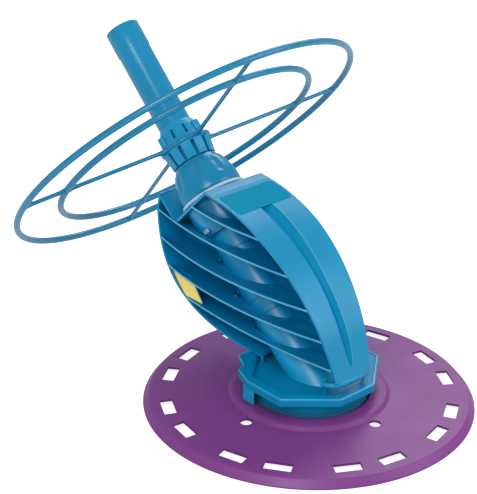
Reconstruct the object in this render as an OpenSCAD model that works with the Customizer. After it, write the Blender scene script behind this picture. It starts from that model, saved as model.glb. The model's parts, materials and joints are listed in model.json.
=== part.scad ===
// Suction pool cleaner: a tilted tube body with a finned two-half bumper, a flexible disc on the
// pool floor, a swivelling extension pipe and a free-spinning deflector wheel.
// The origin is the suction inlet at floor level, +Z is up and the cleaner faces -Y.

/* [Disc] */
// Radius of the flexible disc at the floor
disc_r = 195; // [170:1:220]
// Thickness of the disc's sheet
disc_t = 3; // [2:0.5:4]
// Height of the disc's sloping rim
disc_rim_h = 10; // [8:1:11]
// Width of the disc's sloping rim
disc_rim_w = 7; // [5:1:12]
// Height that the sheet gains from its rim to its collar
disc_rise = 3; // [2:0.5:5]
// Outer radius of the disc's raised collar
disc_collar_r = 91; // [84:1:93]
// Height of the raised collar above the sheet
disc_collar_h = 5; // [3:0.5:6]
// Number of pairs of slots round the disc
slot_pairs = 8; // [4:1:9]
// Distance from the disc's edge to the middle of a slot
slot_inset = 26.7; // [22:0.1:40]
// Length of a slot
slot_len = 32; // [20:1:34]
// Width of a slot
slot_w = 15; // [8:1:18]
// Angle between the two slots of a pair
slot_pair_angle = 18.5; // [15:0.5:20]
// Radius of the four lifting holes
lift_hole_r = 7; // [3:0.5:8]
// Distance of the lifting holes from the centre
lift_hole_ring_r = 104; // [102:1:120]
// Turn of the disc's pattern from the front
disc_turn = 3; // [0:1:44]

/* [Foot] */
// Half width of the octagonal tray
foot_half = 79.5; // [76:0.5:90]
// Half length of the tray's front and back edges
foot_front_corner = 27.5; // [20:0.5:40]
// Half length of the tray's side edges
foot_side_corner = 34.5; // [30:0.5:45]
// Height of the tray's rim above the floor
foot_rim_z = 45; // [42:0.5:45]
// Depth of the tray's rim
foot_rim_depth = 7; // [5:0.5:8]
// Wall thickness of the foot
foot_wall = 3; // [2:0.5:4]
// Outer radius of the round skirt under the tray
skirt_r = 69.5; // [66:0.5:74]
// Radius of the suction inlet
inlet_r = 25; // [20:0.5:26]
// Height of the footpad's shoulder, which carries the foot
pad_shoulder_z = 20; // [19:0.5:24]
// Radius of the footpad's lip under the disc
pad_lip_r = 78; // [72:1:84]
// Number of water channels under the footpad
pad_channels = 12; // [6:1:16]
// Width of a side leg of the foot
leg_w = 18.5; // [10:0.5:24]

/* [Tube] */
// Lean of the tube from upright
tilt = 46.5; // [45:0.5:48]
// Height of the point where the tube's axis meets the upright axis
pivot_z = 40.4; // [38:0.2:43]
// Outer radius of the main tube
tube_r = 28.2; // [27:0.1:29]
// Wall thickness of the main tube
tube_wall = 3; // [2:0.25:3.5]
// Distance along the axis to the main tube's top
tube_top = 204; // [200:1:208]

/* [Lock collar and hand nut] */
// Length of the lock collar below the top plate
collar_drop = 44; // [40:1:50]
// Largest radius of the lock collar
collar_r = 38.5; // [37:0.5:40]
// Radius of the collar's flange
collar_flange_r = 41; // [40:0.5:44]
// Outer radius of the collar's threaded neck
neck_r = 34; // [33:0.5:35]
// Largest radius of the hand nut
nut_r = 39.4; // [38:0.2:42]
// Number of finger hollows round the hand nut
nut_hollows = 8; // [6:1:10]
// Travel of a release button
button_travel = 2; // [1:0.25:2.5]

/* [Extension pipe] */
// Outer radius of the extension pipe
pipe_r = 20.4; // [19.8:0.1:20.6]
// Wall thickness of the extension pipe
pipe_wall = 2.4; // [2:0.1:2.8]
// Distance along the axis to the extension pipe's top
pipe_top = 475; // [420:1:560]
// Inner radius of the hose socket
socket_r = 19.2; // [18.6:0.1:19.4]
// Wall thickness of the hose socket
socket_wall = 2; // [1.8:0.1:3]
// Depth of the hose socket
socket_depth = 32; // [20:1:50]

/* [Deflector wheel] */
// Radius of the wheel's outer ring
wheel_r = 225.4; // [200:1:260]
// Radius of the wheel's inner ring
wheel_inner_r = 167.9; // [120:1:185]
// Radius of the rings' rods
ring_rod_r = 4; // [3:0.25:5]
// Radius of the spokes' rods
spoke_rod_r = 2.7; // [2:0.1:3]
// Number of spokes
spokes = 4; // [3:1:6]
// Turn of the spokes from the side
spoke_turn = 10.5; // [0:0.5:44]
// Distance by which a spoke passes beside the axis
spoke_offset = 6; // [0:0.5:10]
// Distance along the axis to the wheel's plane
wheel_s = 309; // [308:0.5:311]
// Radius of the centre ring that carries the spokes
centre_ring_r = 30.2; // [30:0.1:32]

/* [Bumper shells] */
// Radius of the front band's curve
front_r = 222; // [221:0.5:224]
// Half width of the front band at its foot
band_foot_half = 26.5; // [22:0.5:30]
// Half width of the front band at its top
band_top_half = 44.5; // [43:0.5:48]
// Greatest half width of the back band
back_half = 38.5; // [36:0.5:42]
// Thickness of the bands
band_t = 3; // [2:0.25:4]
// Thickness of the fins
fin_t = 2.6; // [2:0.2:4]
// Spacing of the fins
fin_pitch = 33; // [30:0.5:34]
// Height of the lowest fin above the floor
fin_z0 = 76; // [72:1:80]
// Greatest outward swell of the fins past the bands
fin_swell = 18; // [8:1:22]
// Thickness of each half's middle web
web_t = 1.2; // [1:0.1:2]
// Depth of the front groove
groove_depth = 9; // [4:0.5:10]
// Half width of the front groove
groove_half = 12; // [8:0.5:13]

/* [Clearances] */
// Radial gap of a running fit
run_gap = 0.08; // [0.04:0.01:0.1]
// Gap between seated pieces
seat_gap = 0.2; // [0.1:0.05:0.3]
// Gap between moving pieces that don't bear on each other
clear_gap = 0.5; // [0.4:0.05:0.6]

/* [Hidden] */
$fn = 96;
eps = 0.01;

blue = [0.13, 0.53, 0.72];
deep_blue = [0.05, 0.36, 0.58];
purple = [0.45, 0.24, 0.48];
teal = [0, 0.58, 0.72];
yellow = [0.93, 0.84, 0.47];
grey = [0.55, 0.56, 0.58];
black = [0.1, 0.1, 0.11];

// ---- Placing ----

// Puts its children on the tube's leaning axis: local Z runs up the axis and local -Y faces front
module limb() translate([0, 0, pivot_z]) rotate([-tilt, 0, 0]) children();

// Extrudes a shape drawn in Y and Z along X, between two X values
module along_x(x0, x1) translate([x0, 0, 0]) rotate([90, 0, 90]) linear_extrude(x1 - x0) children();

// The Y and Z of a point s up the axis and t in front of it
function on_axis(s, t) = [s * sin(tilt) - t * cos(tilt), pivot_z + s * cos(tilt) + t * sin(tilt)];

// Points of an arc from angle a0 to a1
function arc(centre, r, a0, a1, steps = 10) =
    [for (i = [0:steps]) let (a = a0 + (a1 - a0) * i / steps) centre + r * [cos(a), sin(a)]];

// Point of a cubic curve at u
function cubic(p, u) = p[0] * pow(1 - u, 3) + 3 * p[1] * u * pow(1 - u, 2)
    + 3 * p[2] * u * u * (1 - u) + p[3] * pow(u, 3);

module ring(r, rod) rotate_extrude() translate([r, 0]) circle(rod, $fn = 48);

module sleeve(r_out, r_in, s0, s1) translate([0, 0, s0]) difference() {
    cylinder(r = r_out, h = s1 - s0);
    translate([0, 0, -1]) cylinder(r = r_in, h = s1 - s0 + 2);
}

// ---- Disc ----

slot_ring_r = disc_r - slot_inset;
disc_bore = skirt_r + 0.5;
disc_sheet_z = disc_rim_h + disc_rise;
disc_top_z = disc_sheet_z + disc_collar_h;
collar_slope = 4;

module disc_section() polygon([
    [disc_r, 0], [disc_r, 1.5], [disc_r - disc_rim_w, disc_rim_h],
    [disc_collar_r + collar_slope, disc_sheet_z], [disc_collar_r, disc_top_z - 1],
    [disc_collar_r - collar_slope, disc_top_z], [disc_bore, disc_top_z],
    [disc_bore, disc_top_z - disc_t], [disc_collar_r - collar_slope, disc_top_z - disc_t],
    [disc_collar_r, disc_sheet_z - disc_t + 0.5],
    [disc_collar_r + collar_slope, disc_sheet_z - disc_t],
    [disc_r - disc_rim_w - 1, disc_rim_h - disc_t], [disc_r - disc_t, 0]
]);

module disc_slot(angle) rotate([0, 0, angle]) translate([slot_ring_r, 0, disc_sheet_z / 2])
    cube([slot_w, slot_len, disc_sheet_z * 2], center = true);

module disc() color(purple) rotate([0, 0, disc_turn]) difference() {
    rotate_extrude($fn = 180) disc_section();
    for (pair = [0:slot_pairs - 1], side = [-1, 1])
        disc_slot((pair + 0.5) * 360 / slot_pairs + side * slot_pair_angle / 2);
    for (quarter = [0:3]) rotate([0, 0, 90 * quarter])
        translate([lift_hole_ring_r, 0, -1]) cylinder(r = lift_hole_r, h = disc_top_z + 2);
}

// ---- Footpad ----

pad_bearing_r = disc_bore - run_gap;
pad_plug_r = skirt_r - foot_wall - seat_gap;
pad_plug_h = 9;
pad_sole = 5;
pad_wall = 6;
pad_sleeve_r = inlet_r + 4.5;
channel_w = 7;
channel_h = 2.5;

module footpad() color(deep_blue) difference() {
    rotate_extrude() polygon([
        [inlet_r, 0], [pad_lip_r - 3, 0], [pad_lip_r, 3], [pad_lip_r, 6.5], [pad_bearing_r, 8.5],
        [pad_bearing_r, pad_shoulder_z], [pad_plug_r, pad_shoulder_z],
        [pad_plug_r, pad_shoulder_z + pad_plug_h], [pad_plug_r - pad_wall, pad_shoulder_z + pad_plug_h],
        [pad_plug_r - pad_wall, pad_sole], [pad_sleeve_r, pad_sole], [pad_sleeve_r, pad_shoulder_z],
        [inlet_r, pad_shoulder_z]
    ]);
    for (i = [0:pad_channels - 1]) rotate([0, 0, (i + 0.5) * 360 / pad_channels])
        translate([pad_sleeve_r + 4, -channel_w / 2, -1]) cube([pad_lip_r, channel_w, channel_h + 1]);
}

// ---- Foot ----

tray_floor_z = foot_rim_z - foot_rim_depth + 1;
tray_under_z = tray_floor_z - foot_wall;
bore_r = tube_r - tube_wall;
spigot_r = tube_r + 0.1;
socket_wall_r = spigot_r + seat_gap + foot_wall;
leg_y = 9.5;
leg_depth = 10.5;
leg_foot_z = disc_top_z + 0.4;
post_y = -62;
post_x = 17;
post_w = 5;

function octagon(half, front, side) = [
    [-front, -half], [front, -half], [half, -side], [half, side],
    [front, half], [-front, half], [-half, side], [-half, -side]
];

module tray() difference() {
    translate([0, 0, tray_under_z]) linear_extrude(foot_rim_z - tray_under_z)
        polygon(octagon(foot_half, foot_front_corner, foot_side_corner));
    translate([0, 0, tray_floor_z]) linear_extrude(foot_rim_depth)
        polygon(octagon(foot_half - foot_wall, foot_front_corner - 1, foot_side_corner - 1));
}

// Step cut out of the rim at each rear diagonal
module rim_notch(side) translate([side * (foot_half + foot_front_corner) / 2,
    (foot_half + foot_side_corner) / 2, tray_floor_z]) rotate([0, 0, side * -41])
    translate([-5, -6, 0]) cube([10, 12, foot_rim_depth]);

module foot_leg(side) translate([side > 0 ? foot_half - leg_depth : -foot_half, leg_y, leg_foot_z])
    cube([leg_depth, leg_w, foot_rim_z - leg_foot_z]);

module tip_post(side) translate([side * post_x - post_w / 2, post_y - post_w / 2, tray_floor_z - eps])
    cube([post_w, post_w, pod_bottom(post_y) - 1 - tray_floor_z]);

module foot_base() color(blue) difference() {
    union() {
        tray();
        sleeve(skirt_r, skirt_r - foot_wall, pad_shoulder_z, tray_under_z + eps);
        sleeve(socket_wall_r, spigot_r, pad_shoulder_z + 1, tray_under_z + eps);
        for (side = [-1, 1]) {
            foot_leg(side);
            tip_post(side);
        }
    }
    for (side = [-1, 1]) rim_notch(side);
    translate([0, 0, 0]) cylinder(r = spigot_r + seat_gap, h = foot_rim_z);
}

// ---- Main tube ----

spigot_z = pad_shoulder_z;
mark_rings = [80, 100, 165];
mark_depth = 0.5;
lug_s = 90;
lug_angle = 150;

module main_tube() color(blue) difference() {
    union() {
        intersection() {
            limb() translate([0, 0, -2 * tube_r]) cylinder(r = tube_r, h = tube_top + 2 * tube_r);
            translate([-2 * tube_r, -4 * tube_r, tray_floor_z]) cube([4 * tube_r, 500, 500]);
        }
        translate([0, 0, spigot_z]) cylinder(r = spigot_r, h = tray_floor_z - spigot_z + eps);
        limb() rotate([0, 0, -lug_angle]) translate([tube_r - 1, -4, lug_s - 3]) cube([2, 8, 6]);
    }
    limb() cylinder(r = bore_r, h = tube_top + 1);
    translate([0, 0, pivot_z]) sphere(bore_r);
    cylinder(r = bore_r, h = pivot_z);
    limb() for (s = mark_rings)
        sleeve(tube_r + 1, tube_r - mark_depth, s, s + 0.8);
}

// ---- Pod: the two bumper halves ----

plate_s = 235;
plate_t = 3;
cradle_t = -50;
cradle_s = 276;
front_centre = [145, 11];
pod_floor_front = [-90, 55];
back_curve = [[237, 176], [222, 112], [204, 40], [52, 45.5]];
back_steps = 24;
back_line = [for (i = [0:back_steps]) cubic(back_curve, i / back_steps)];

// Height of the pod's underside at y, a straight line up to where the back band starts
function pod_bottom(y) = lookup(y, [pod_floor_front, back_curve[3]]);
// Y of the pod's front and back surfaces at height z
function front_y(z) = front_centre[0] - sqrt(pow(front_r, 2) - pow(z - front_centre[1], 2));
function plate_y(z) = on_axis(plate_s, (z - on_axis(plate_s, 0)[1]) / sin(tilt))[0];
function back_y(z) = z > on_axis(plate_s, cradle_t)[1] + fin_pitch / 2 ? plate_y(z)
    : lookup(z, [for (i = [back_steps:-1:0]) [back_line[i][1], back_line[i][0]]]);
// Half widths of the front band, the back band and the fins
taper_z = [55, 206];
function front_half(z) = lookup(z, [[taper_z[0], band_foot_half], [taper_z[1], band_top_half]]);
function back_half_at(z) = back_half - 0.0014 * pow(z - 125, 2);
function swell(z) = max(0, fin_swell * (1 - pow((z - 133) / 82, 2)));
function fin_half(z, u) = back_half_at(z) * (1 - u) + front_half(z) * u + 4 * swell(z) * u * (1 - u);

module pod_outline() intersection() {
    translate(front_centre) circle(front_r, $fn = 180);
    polygon(concat(
        [pod_floor_front, [pod_floor_front[0], 300], on_axis(plate_s, 90), on_axis(plate_s, cradle_t),
         on_axis(cradle_s, cradle_t), back_curve[0] + [0, 14]],
        back_line));
}

// Strip inside the back curve
function unit(v) = v / norm(v);
function inset(line, d) = [for (i = [0:len(line) - 1])
    let (a = line[max(i - 1, 0)], b = line[min(i + 1, len(line) - 1)], v = unit(b - a))
    line[i] + d * [v[1], -v[0]]];
back_edge = concat([on_axis(cradle_s, cradle_t), back_curve[0] + [0, 14]], back_line);

module front_band() intersection() {
    along_x(-60, 60) difference() {
        pod_outline();
        translate(front_centre) circle(front_r - band_t, $fn = 180);
    }
    translate([0, 250, 0]) rotate([90, 0, 0]) linear_extrude(400) polygon([
        [-band_foot_half, 40], [band_foot_half, 40], [band_foot_half, taper_z[0]],
        [band_top_half, taper_z[1]], [band_top_half, 260], [-band_top_half, 260],
        [-band_top_half, taper_z[1]], [-band_foot_half, taper_z[0]]
    ]);
}

rib_half = 14;
rib_depth = 17;
module seam_rib() along_x(-rib_half, rib_half) difference() {
    pod_outline();
    translate(front_centre) circle(front_r - rib_depth, $fn = 180);
    polygon([on_axis(plate_s - 30, 90), on_axis(plate_s - 30, 0), on_axis(plate_s + 30, 0),
             on_axis(plate_s + 30, 90)]);
}

// Groove down the front, which fades out at both ends
groove_a = [12, 73];
groove_mid = (groove_a[0] + groove_a[1]) / 2;
groove_reach = front_r * sin((groove_a[1] - groove_a[0]) / 2);
groove_rise = front_r * (1 - cos((groove_a[1] - groove_a[0]) / 2)) - groove_depth;
groove_r = (pow(groove_reach, 2) + pow(groove_rise, 2)) / (2 * groove_rise);
groove_shift = groove_r - groove_rise - sqrt(pow(front_r, 2) - pow(groove_reach, 2));
module groove() translate([0, front_centre[0] + groove_shift * cos(groove_mid),
    front_centre[1] - groove_shift * sin(groove_mid)]) rotate([0, 90, 0])
    rotate([0, 0, 180 - groove_a[1] + 45]) rotate_extrude(angle = 90, $fn = 180) polygon([
        [groove_r, 0], [groove_r + 4 * groove_depth, -4 * groove_half],
        [groove_r + 4 * groove_depth, 4 * groove_half]
    ]);

module back_band() intersection() {
    along_x(-60, 60) intersection() {
        pod_outline();
        polygon(concat(back_edge, [for (i = [len(back_edge) - 1:-1:0]) inset(back_edge, band_t)[i]]));
    }
    translate([0, 300, 0]) rotate([90, 0, 0]) linear_extrude(300) polygon(concat(
        [for (z = [40:8:200]) [-back_half_at(z), z]], [for (z = [200:-8:40]) [back_half_at(z), z]]));
}

// Each fin runs past the outline, which cuts it, and its ends tuck in behind the bands
fin_steps = 20;
fin_past = 0.04;
fin_tuck = 0.6;
fin_line = [for (i = [0:fin_steps]) i / fin_steps * (1 + 2 * fin_past) - fin_past];
module fin(z) intersection() {
    half = [for (u = fin_line) [fin_half(z, u) - fin_tuck, back_y(z) * (1 - u) + front_y(z) * u]];
    translate([0, 0, z - fin_t / 2]) linear_extrude(fin_t) polygon(concat(
        [for (p = half) [-p[0], p[1]]], [for (i = [fin_steps:-1:0]) half[i]]));
    along_x(-80, 80) pod_outline();
}

fins = [for (i = [0:4]) fin_z0 + i * fin_pitch];

// Top plate round the lock collar, and the cradle wall behind the hand nut
module top_plate() intersection() {
    limb() translate([0, 0, plate_s - plate_t]) linear_extrude(plate_t) polygon([
        [-band_top_half, -80], [band_top_half, -80], [42, -cradle_t], [-42, -cradle_t]]);
    along_x(-60, 60) pod_outline();
}
module cradle() intersection() {
    limb() translate([0, -cradle_t + plate_t, 0]) rotate([90, 0, 0]) linear_extrude(plate_t) polygon([
        [-42, plate_s - plate_t], [42, plate_s - plate_t], [33, cradle_s], [-33, cradle_s]]);
    along_x(-60, 60) pod_outline();
}

infill_x = 34;
infill_t = 1.6;
module infill_outline(gap) intersection() {
    pod_outline();
    polygon([[146 + gap, fins[0] + fin_t / 2 + gap], [260, fins[0] + fin_t / 2 + gap],
             [260, fins[1] - fin_t / 2 - gap], [159 + gap, fins[1] - fin_t / 2 - gap]]);
    polygon(concat([[60, 300]], inset(back_edge, gap > 0 ? band_t + gap : 0)));
}
module infill() along_x(-infill_x, -infill_x + infill_t) infill_outline(0);

// Where the tube, the collar and the nut pass through the pod
tube_gap = 0.1;
module limb_clearance() {
    for (side = [-1, 1]) at_button(side) button_block(clear_gap, pocket_floor, button_face + clear_gap);
    limb() translate([0, 0, -3 * tube_r]) cylinder(r = tube_r + tube_gap, h = plate_s + 3 * tube_r);
    limb() rotate_extrude() polygon(concat([[0, collar_bottom - 1]],
        [for (p = collar_outside) p + [seat_gap + 0.1, 0]],
        [[collar_r + seat_gap + 0.1, plate_s + 1], [0, plate_s + 1]]));
    limb() rotate([0, 0, -lug_angle]) translate([tube_r - 1, -4.2, lug_s - 3.2]) cube([2.2, 8.4, 6.4]);
}

// Screws that join the halves: three in the front rib, three beside the tube
screw_r = 1.7;
screw_head_r = 3.2;
screw_head_h = 2.6;
boss_r = 5;
left_boss = 6;
right_boss = 12;
boss_t = -42;
boss_s = [78, 122, 172];
rib_screw_r = front_r - 13;
boss_places = [for (s = boss_s) on_axis(s, boss_t)];
rib_places = [for (a = [17, 43, 69]) front_centre + rib_screw_r * [-cos(a), sin(a)]];

module at_yz(p) translate([0, p[0], p[1]]) rotate([0, 90, 0]) children();

module shell_body() {
    front_band();
    seam_rib();
    back_band();
    along_x(-web_t, web_t) pod_outline();
    for (z = fins) fin(z);
    top_plate();
    cradle();
    for (p = boss_places) at_yz(p) translate([0, 0, -left_boss])
        cylinder(r = boss_r, h = left_boss + right_boss, $fn = 32);
}

module shell_half(side) difference() {
    intersection() {
        union() {
            shell_body();
            infill();
            mirror([1, 0, 0]) infill();
        }
        translate([side < 0 ? -100 : 0, -200, 0]) cube([100, 500, 400]);
    }
    limb_clearance();
    groove();
}

module shell_left() color(blue) difference() {
    shell_half(-1);
    for (p = concat(boss_places, rib_places)) at_yz(p) translate([0, 0, -4.5])
        cylinder(r = screw_r + 0.05, h = 5, $fn = 24);
}

module shell_right() color(blue) difference() {
    shell_half(1);
    for (p = concat(boss_places, rib_places)) at_yz(p) {
        translate([0, 0, -1]) cylinder(r = screw_r + 0.2, h = rib_half + 2, $fn = 24);
        translate([0, 0, right_boss - 3.6]) cylinder(r = screw_head_r + 0.2, h = 8, $fn = 24);
    }
}

module shell_screw() difference() {
    union() {
        translate([0, 0, -4]) cylinder(r = screw_r, h = right_boss - 3.6 + 4 + eps, $fn = 24);
        translate([0, 0, right_boss - 3.6]) cylinder(r = screw_head_r, h = screw_head_h, $fn = 24);
    }
    for (turn = [0, 90]) rotate([0, 0, turn]) translate([-2, -0.4, right_boss - 2.2])
        cube([4, 0.8, 3]);
}

module shell_screws() color(grey) for (p = concat(boss_places, rib_places)) at_yz(p) shell_screw();

// ---- Lock collar and its release buttons ----

collar_bottom = plate_s - collar_drop;
collar_top = plate_s + seat_gap;
flange_top = 240;
neck_top = 256;
seat_s = 226;
seat_r = 31;
collar_outside = [[collar_r - 6, collar_bottom], [collar_r - 3, collar_bottom + 5],
                  [collar_r - 1.5, collar_bottom + 20], [collar_r, plate_s - 4]];
button_s = 201;
button_len = 9.2;
button_h = 6.2;
button_back = 33.5;
button_face = 37.8;
pocket_floor = 30.5;
stem_r = 1.2;
button_gap = 0.1;

module at_button(side) limb() translate([0, 0, button_s]) rotate([0, side * 90, 0]) children();

module button_block(grow, from, to) translate([-button_h / 2 - grow, -button_len / 2 - grow, from])
    cube([button_h + 2 * grow, button_len + 2 * grow, to - from]);

module lock_collar() color(blue) difference() {
    limb() rotate_extrude() polygon(concat(collar_outside, [
        [collar_r, collar_top], [collar_flange_r, collar_top], [collar_flange_r, flange_top - 1],
        [collar_flange_r - 1, flange_top], [neck_r, flange_top], [neck_r, neck_top], [seat_r, neck_top],
        [seat_r, seat_s], [bore_r + 0.2, seat_s], [bore_r + 0.2, tube_top + seat_gap],
        [tube_r + seat_gap, tube_top + seat_gap], [tube_r + seat_gap, collar_bottom]
    ]));
    for (side = [-1, 1]) at_button(side) {
        button_block(button_gap, pocket_floor, collar_r + 5);
        cylinder(r = stem_r + run_gap, h = collar_r, $fn = 24);
    }
}

module release_button(side) color(blue) at_button(side) {
    button_block(0, button_back, button_face);
    translate([0, 0, button_back - 2.6]) cylinder(r = stem_r, h = 2.7, $fn = 24);
}

module release_spring(side) color(grey) at_button(side) rotate_extrude($fn = 24) {
    spring_len = button_back - pocket_floor - 0.2;
    turns = 3;
    pitch = spring_len / turns;
    polygon(concat(
        [for (i = [0:2 * turns]) [i % 2 == 0 ? 1.7 : 2.2, pocket_floor + 0.1 + i * pitch / 2]],
        [for (i = [2 * turns:-1:0]) [i % 2 == 0 ? 1.4 : 1.9, pocket_floor + 0.1 + i * pitch / 2]]));
}

module release_button_left() release_button(-1);
module release_button_right() release_button(1);
module release_spring_left() release_spring(-1);
module release_spring_right() release_spring(1);

// ---- Cassette and diaphragm ----

cassette_r = bore_r - 0.3;
cassette_in_r = cassette_r - 2;
cassette_bottom = 42;
cassette_flange_s = seat_s + seat_gap;
cassette_flange_t = 3.8;
inner_r = pipe_r - pipe_wall - run_gap;
inner_wall = 3;
inner_bottom = 186;
inner_top = 330;

module cassette_outer() color(deep_blue) limb() rotate_extrude() polygon([
    [cassette_in_r - 2, cassette_bottom], [cassette_r, cassette_bottom],
    [cassette_r, cassette_flange_s], [seat_r - seat_gap, cassette_flange_s],
    [seat_r - seat_gap, cassette_flange_s + cassette_flange_t],
    [cassette_in_r, cassette_flange_s + cassette_flange_t], [cassette_in_r, cassette_bottom + 3],
    [cassette_in_r - 2, cassette_bottom + 3]
]);

module cassette_inner() color(grey) limb() rotate_extrude() polygon([
    [14, 60], [cassette_in_r - 3, cassette_bottom + 3.2], [cassette_in_r - 0.1, cassette_bottom + 3.2],
    [cassette_in_r - 0.1, 80], [14, 80]
]);

module diaphragm() color(black) limb() rotate_extrude() polygon([
    [cassette_in_r - 0.2, 80.2], [cassette_in_r - 0.2, 83], [17, 84.5], [12.5, 96], [10.5, 118],
    [12.5, 140], [17, 168], [inner_r + 2.1, 184], [inner_r + 2.1, 198], [inner_r + 0.1, 198],
    [inner_r + 0.1, inner_bottom - 0.2], [15, 168], [10.5, 140], [8.5, 118], [10.5, 96],
    [14.5, 84], [14.5, 80.2]
]);

module diaphragm_ring() color(grey) limb() sleeve(cassette_in_r - 0.1, 18, 84.6, 90);

module inner_pipe() color(grey) limb() difference() {
    union() {
        sleeve(inner_r, inner_r - inner_wall, inner_bottom, inner_top);
        sleeve(cassette_in_r - 0.2, inner_r - 1, 202, 205);
    }
}

module compression_ring() color(grey) limb() rotate_extrude() difference() {
    translate([inner_r + 0.3, cassette_flange_s + cassette_flange_t + 0.1])
        square([seat_r - seat_gap - inner_r - 0.3, 10]);
    translate([inner_r - 1, seal_s - 2]) square([seal_rod * 2 + 1.2, 4]);
}

seal_rod = 1.6;
seal_s = 235;
module pipe_seal() color(black) limb() translate([0, 0, seal_s])
    ring(inner_r + seal_rod + 0.05, seal_rod);

// ---- Hand nut ----

nut_bottom = flange_top + 0.3;
nut_top = 285;
nut_curve_s = 251;
nut_curve_r = 60;
washer_s = 277.2;
washer_t = 1.6;
swivel_r = 27.5;
nut_hole_r = pipe_r + clear_gap;

hollow_r = 9;
hollow_depth = 1.4;
hollow_lean = -10;
module nut_hollow() translate([nut_r + hollow_r - hollow_depth, 0, nut_bottom + 2.7])
    rotate([0, hollow_lean, 0]) cylinder(r = hollow_r, h = 28, $fn = 48);

module hand_nut() color(blue) limb() difference() {
    rotate_extrude() polygon(concat(
        [[neck_r + run_gap, nut_bottom], [nut_r - 0.6, nut_bottom]],
        arc([nut_r - nut_curve_r, nut_curve_s], nut_curve_r, 0,
            asin((nut_top - nut_curve_s) / nut_curve_r)),
        [[nut_hole_r, nut_top], [nut_hole_r, washer_s + washer_t + 0.2],
         [swivel_r + 1, washer_s + washer_t + 0.2], [swivel_r + 1, 270],
         [neck_r + run_gap, neck_top + 2]]));
    for (i = [0:nut_hollows - 1]) rotate([0, 0, i * 360 / nut_hollows]) nut_hollow();
}

module swivel_washer() color(black) limb()
    sleeve(swivel_r + 0.1, pipe_r + clear_gap, washer_s, washer_s + washer_t);

// ---- Outer extension pipe ----

pipe_bottom = 250;
swivel_t = 5;
stop_s = nut_top + clear_gap;
stop_t = 2;
hub_bottom = stop_s + stop_t + 0.4;
hub_top = wheel_s + 26;
bead_s = hub_top + 0.6;
bead_t = 2;
pipe_bore = pipe_r - pipe_wall;
socket_s = pipe_top - socket_depth;

module outer_pipe() color(blue) limb() rotate_extrude() polygon([
    [pipe_bore, pipe_bottom], [pipe_r, pipe_bottom], [pipe_r, washer_s - swivel_t - seat_gap],
    [swivel_r, washer_s - swivel_t - seat_gap], [swivel_r, washer_s - seat_gap],
    [pipe_r, washer_s - seat_gap], [pipe_r, stop_s], [pipe_r + 3.6, stop_s],
    [pipe_r + 3.6, stop_s + stop_t], [pipe_r, stop_s + stop_t], [pipe_r, bead_s],
    [pipe_r + 1.2, bead_s + 0.6], [pipe_r + 1.2, bead_s + bead_t], [pipe_r, bead_s + bead_t + 0.6],
    [pipe_r, socket_s - 1], [socket_r + socket_wall, socket_s], [socket_r + socket_wall, pipe_top - 0.6],
    [socket_r + socket_wall - 0.6, pipe_top], [socket_r, pipe_top], [socket_r, socket_s],
    [pipe_bore, socket_s]
]);

// ---- Deflector wheel ----

hub_bore = pipe_r + run_gap;
lower_r = 28.5;
upper_r = 25.5;
ring_seat_r = centre_ring_r - spoke_rod_r - seat_gap;
ring_seat_h = spoke_rod_r + seat_gap;
hub_slots = 10;
hub_slot_w = 2;
hub_lugs = 4;

module hub_slot_ring(r, s0, s1, turn) for (i = [0:hub_slots - 1])
    rotate([0, 0, (i + turn) * 360 / hub_slots])
    translate([r - 2, -hub_slot_w / 2, s0]) cube([4, hub_slot_w, s1 - s0]);

module wheel_hub_lower() color(blue) limb() difference() {
    rotate_extrude() polygon([
        [hub_bore, hub_bottom], [lower_r - 1, hub_bottom], [lower_r, hub_bottom + 1.5],
        [lower_r, wheel_s - ring_seat_h], [ring_seat_r, wheel_s - ring_seat_h],
        [ring_seat_r, wheel_s], [hub_bore, wheel_s]
    ]);
    hub_slot_ring(lower_r, hub_bottom + 3, wheel_s - ring_seat_h - 1.5, 0);
}

module wheel_hub_upper() color(blue) limb() difference() {
    union() {
        rotate_extrude() polygon([
            [hub_bore, wheel_s], [ring_seat_r, wheel_s], [ring_seat_r, wheel_s + ring_seat_h],
            [upper_r + 2, wheel_s + ring_seat_h], [upper_r, wheel_s + ring_seat_h + 3],
            [upper_r - 1.5, hub_top - 1], [upper_r - 2.5, hub_top], [hub_bore, hub_top]
        ]);
        for (i = [0:hub_lugs - 1]) rotate([0, 0, -spoke_turn + 12 + i * 360 / hub_lugs])
            translate([upper_r + 1.5, 0, wheel_s + ring_seat_h]) cylinder(r = 4.6, h = 13, $fn = 32);
    }
    translate([0, 0, wheel_s - 1]) cylinder(r = hub_bore, h = hub_top);
    hub_slot_ring(upper_r, wheel_s + 7, hub_top - 7, 0.5);
}

module wheel_centre_ring() color(blue) limb() translate([0, 0, wheel_s])
    ring(centre_ring_r, spoke_rod_r);

module wheel_inner_ring() color(blue) limb() translate([0, 0, wheel_s])
    rotate_extrude($fn = 180) translate([wheel_inner_r, 0]) circle(ring_rod_r, $fn = 48);

module wheel_outer_ring() color(blue) limb() translate([0, 0, wheel_s])
    rotate_extrude($fn = 180) translate([wheel_r, 0]) circle(ring_rod_r, $fn = 48);

// A spoke is cut where it meets each ring, so that the pieces touch and don't overlap
module wheel_spokes() color(blue) limb() translate([0, 0, wheel_s]) difference() {
    for (i = [0:spokes - 1]) rotate([0, 0, i * 360 / spokes - spoke_turn])
        translate([centre_ring_r, spoke_offset, 0]) rotate([0, 90, 0])
        cylinder(r = spoke_rod_r - 0.1, h = wheel_r - centre_ring_r, $fn = 32);
    ring(centre_ring_r, spoke_rod_r);
    ring(wheel_inner_r, ring_rod_r);
    ring(wheel_r, ring_rod_r);
    difference() {
        translate([0, 0, -20]) cylinder(r = wheel_r + 20, h = 40);
        translate([0, 0, -21]) cylinder(r = wheel_r, h = 42);
    }
}

// ---- Blank labels ----

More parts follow.
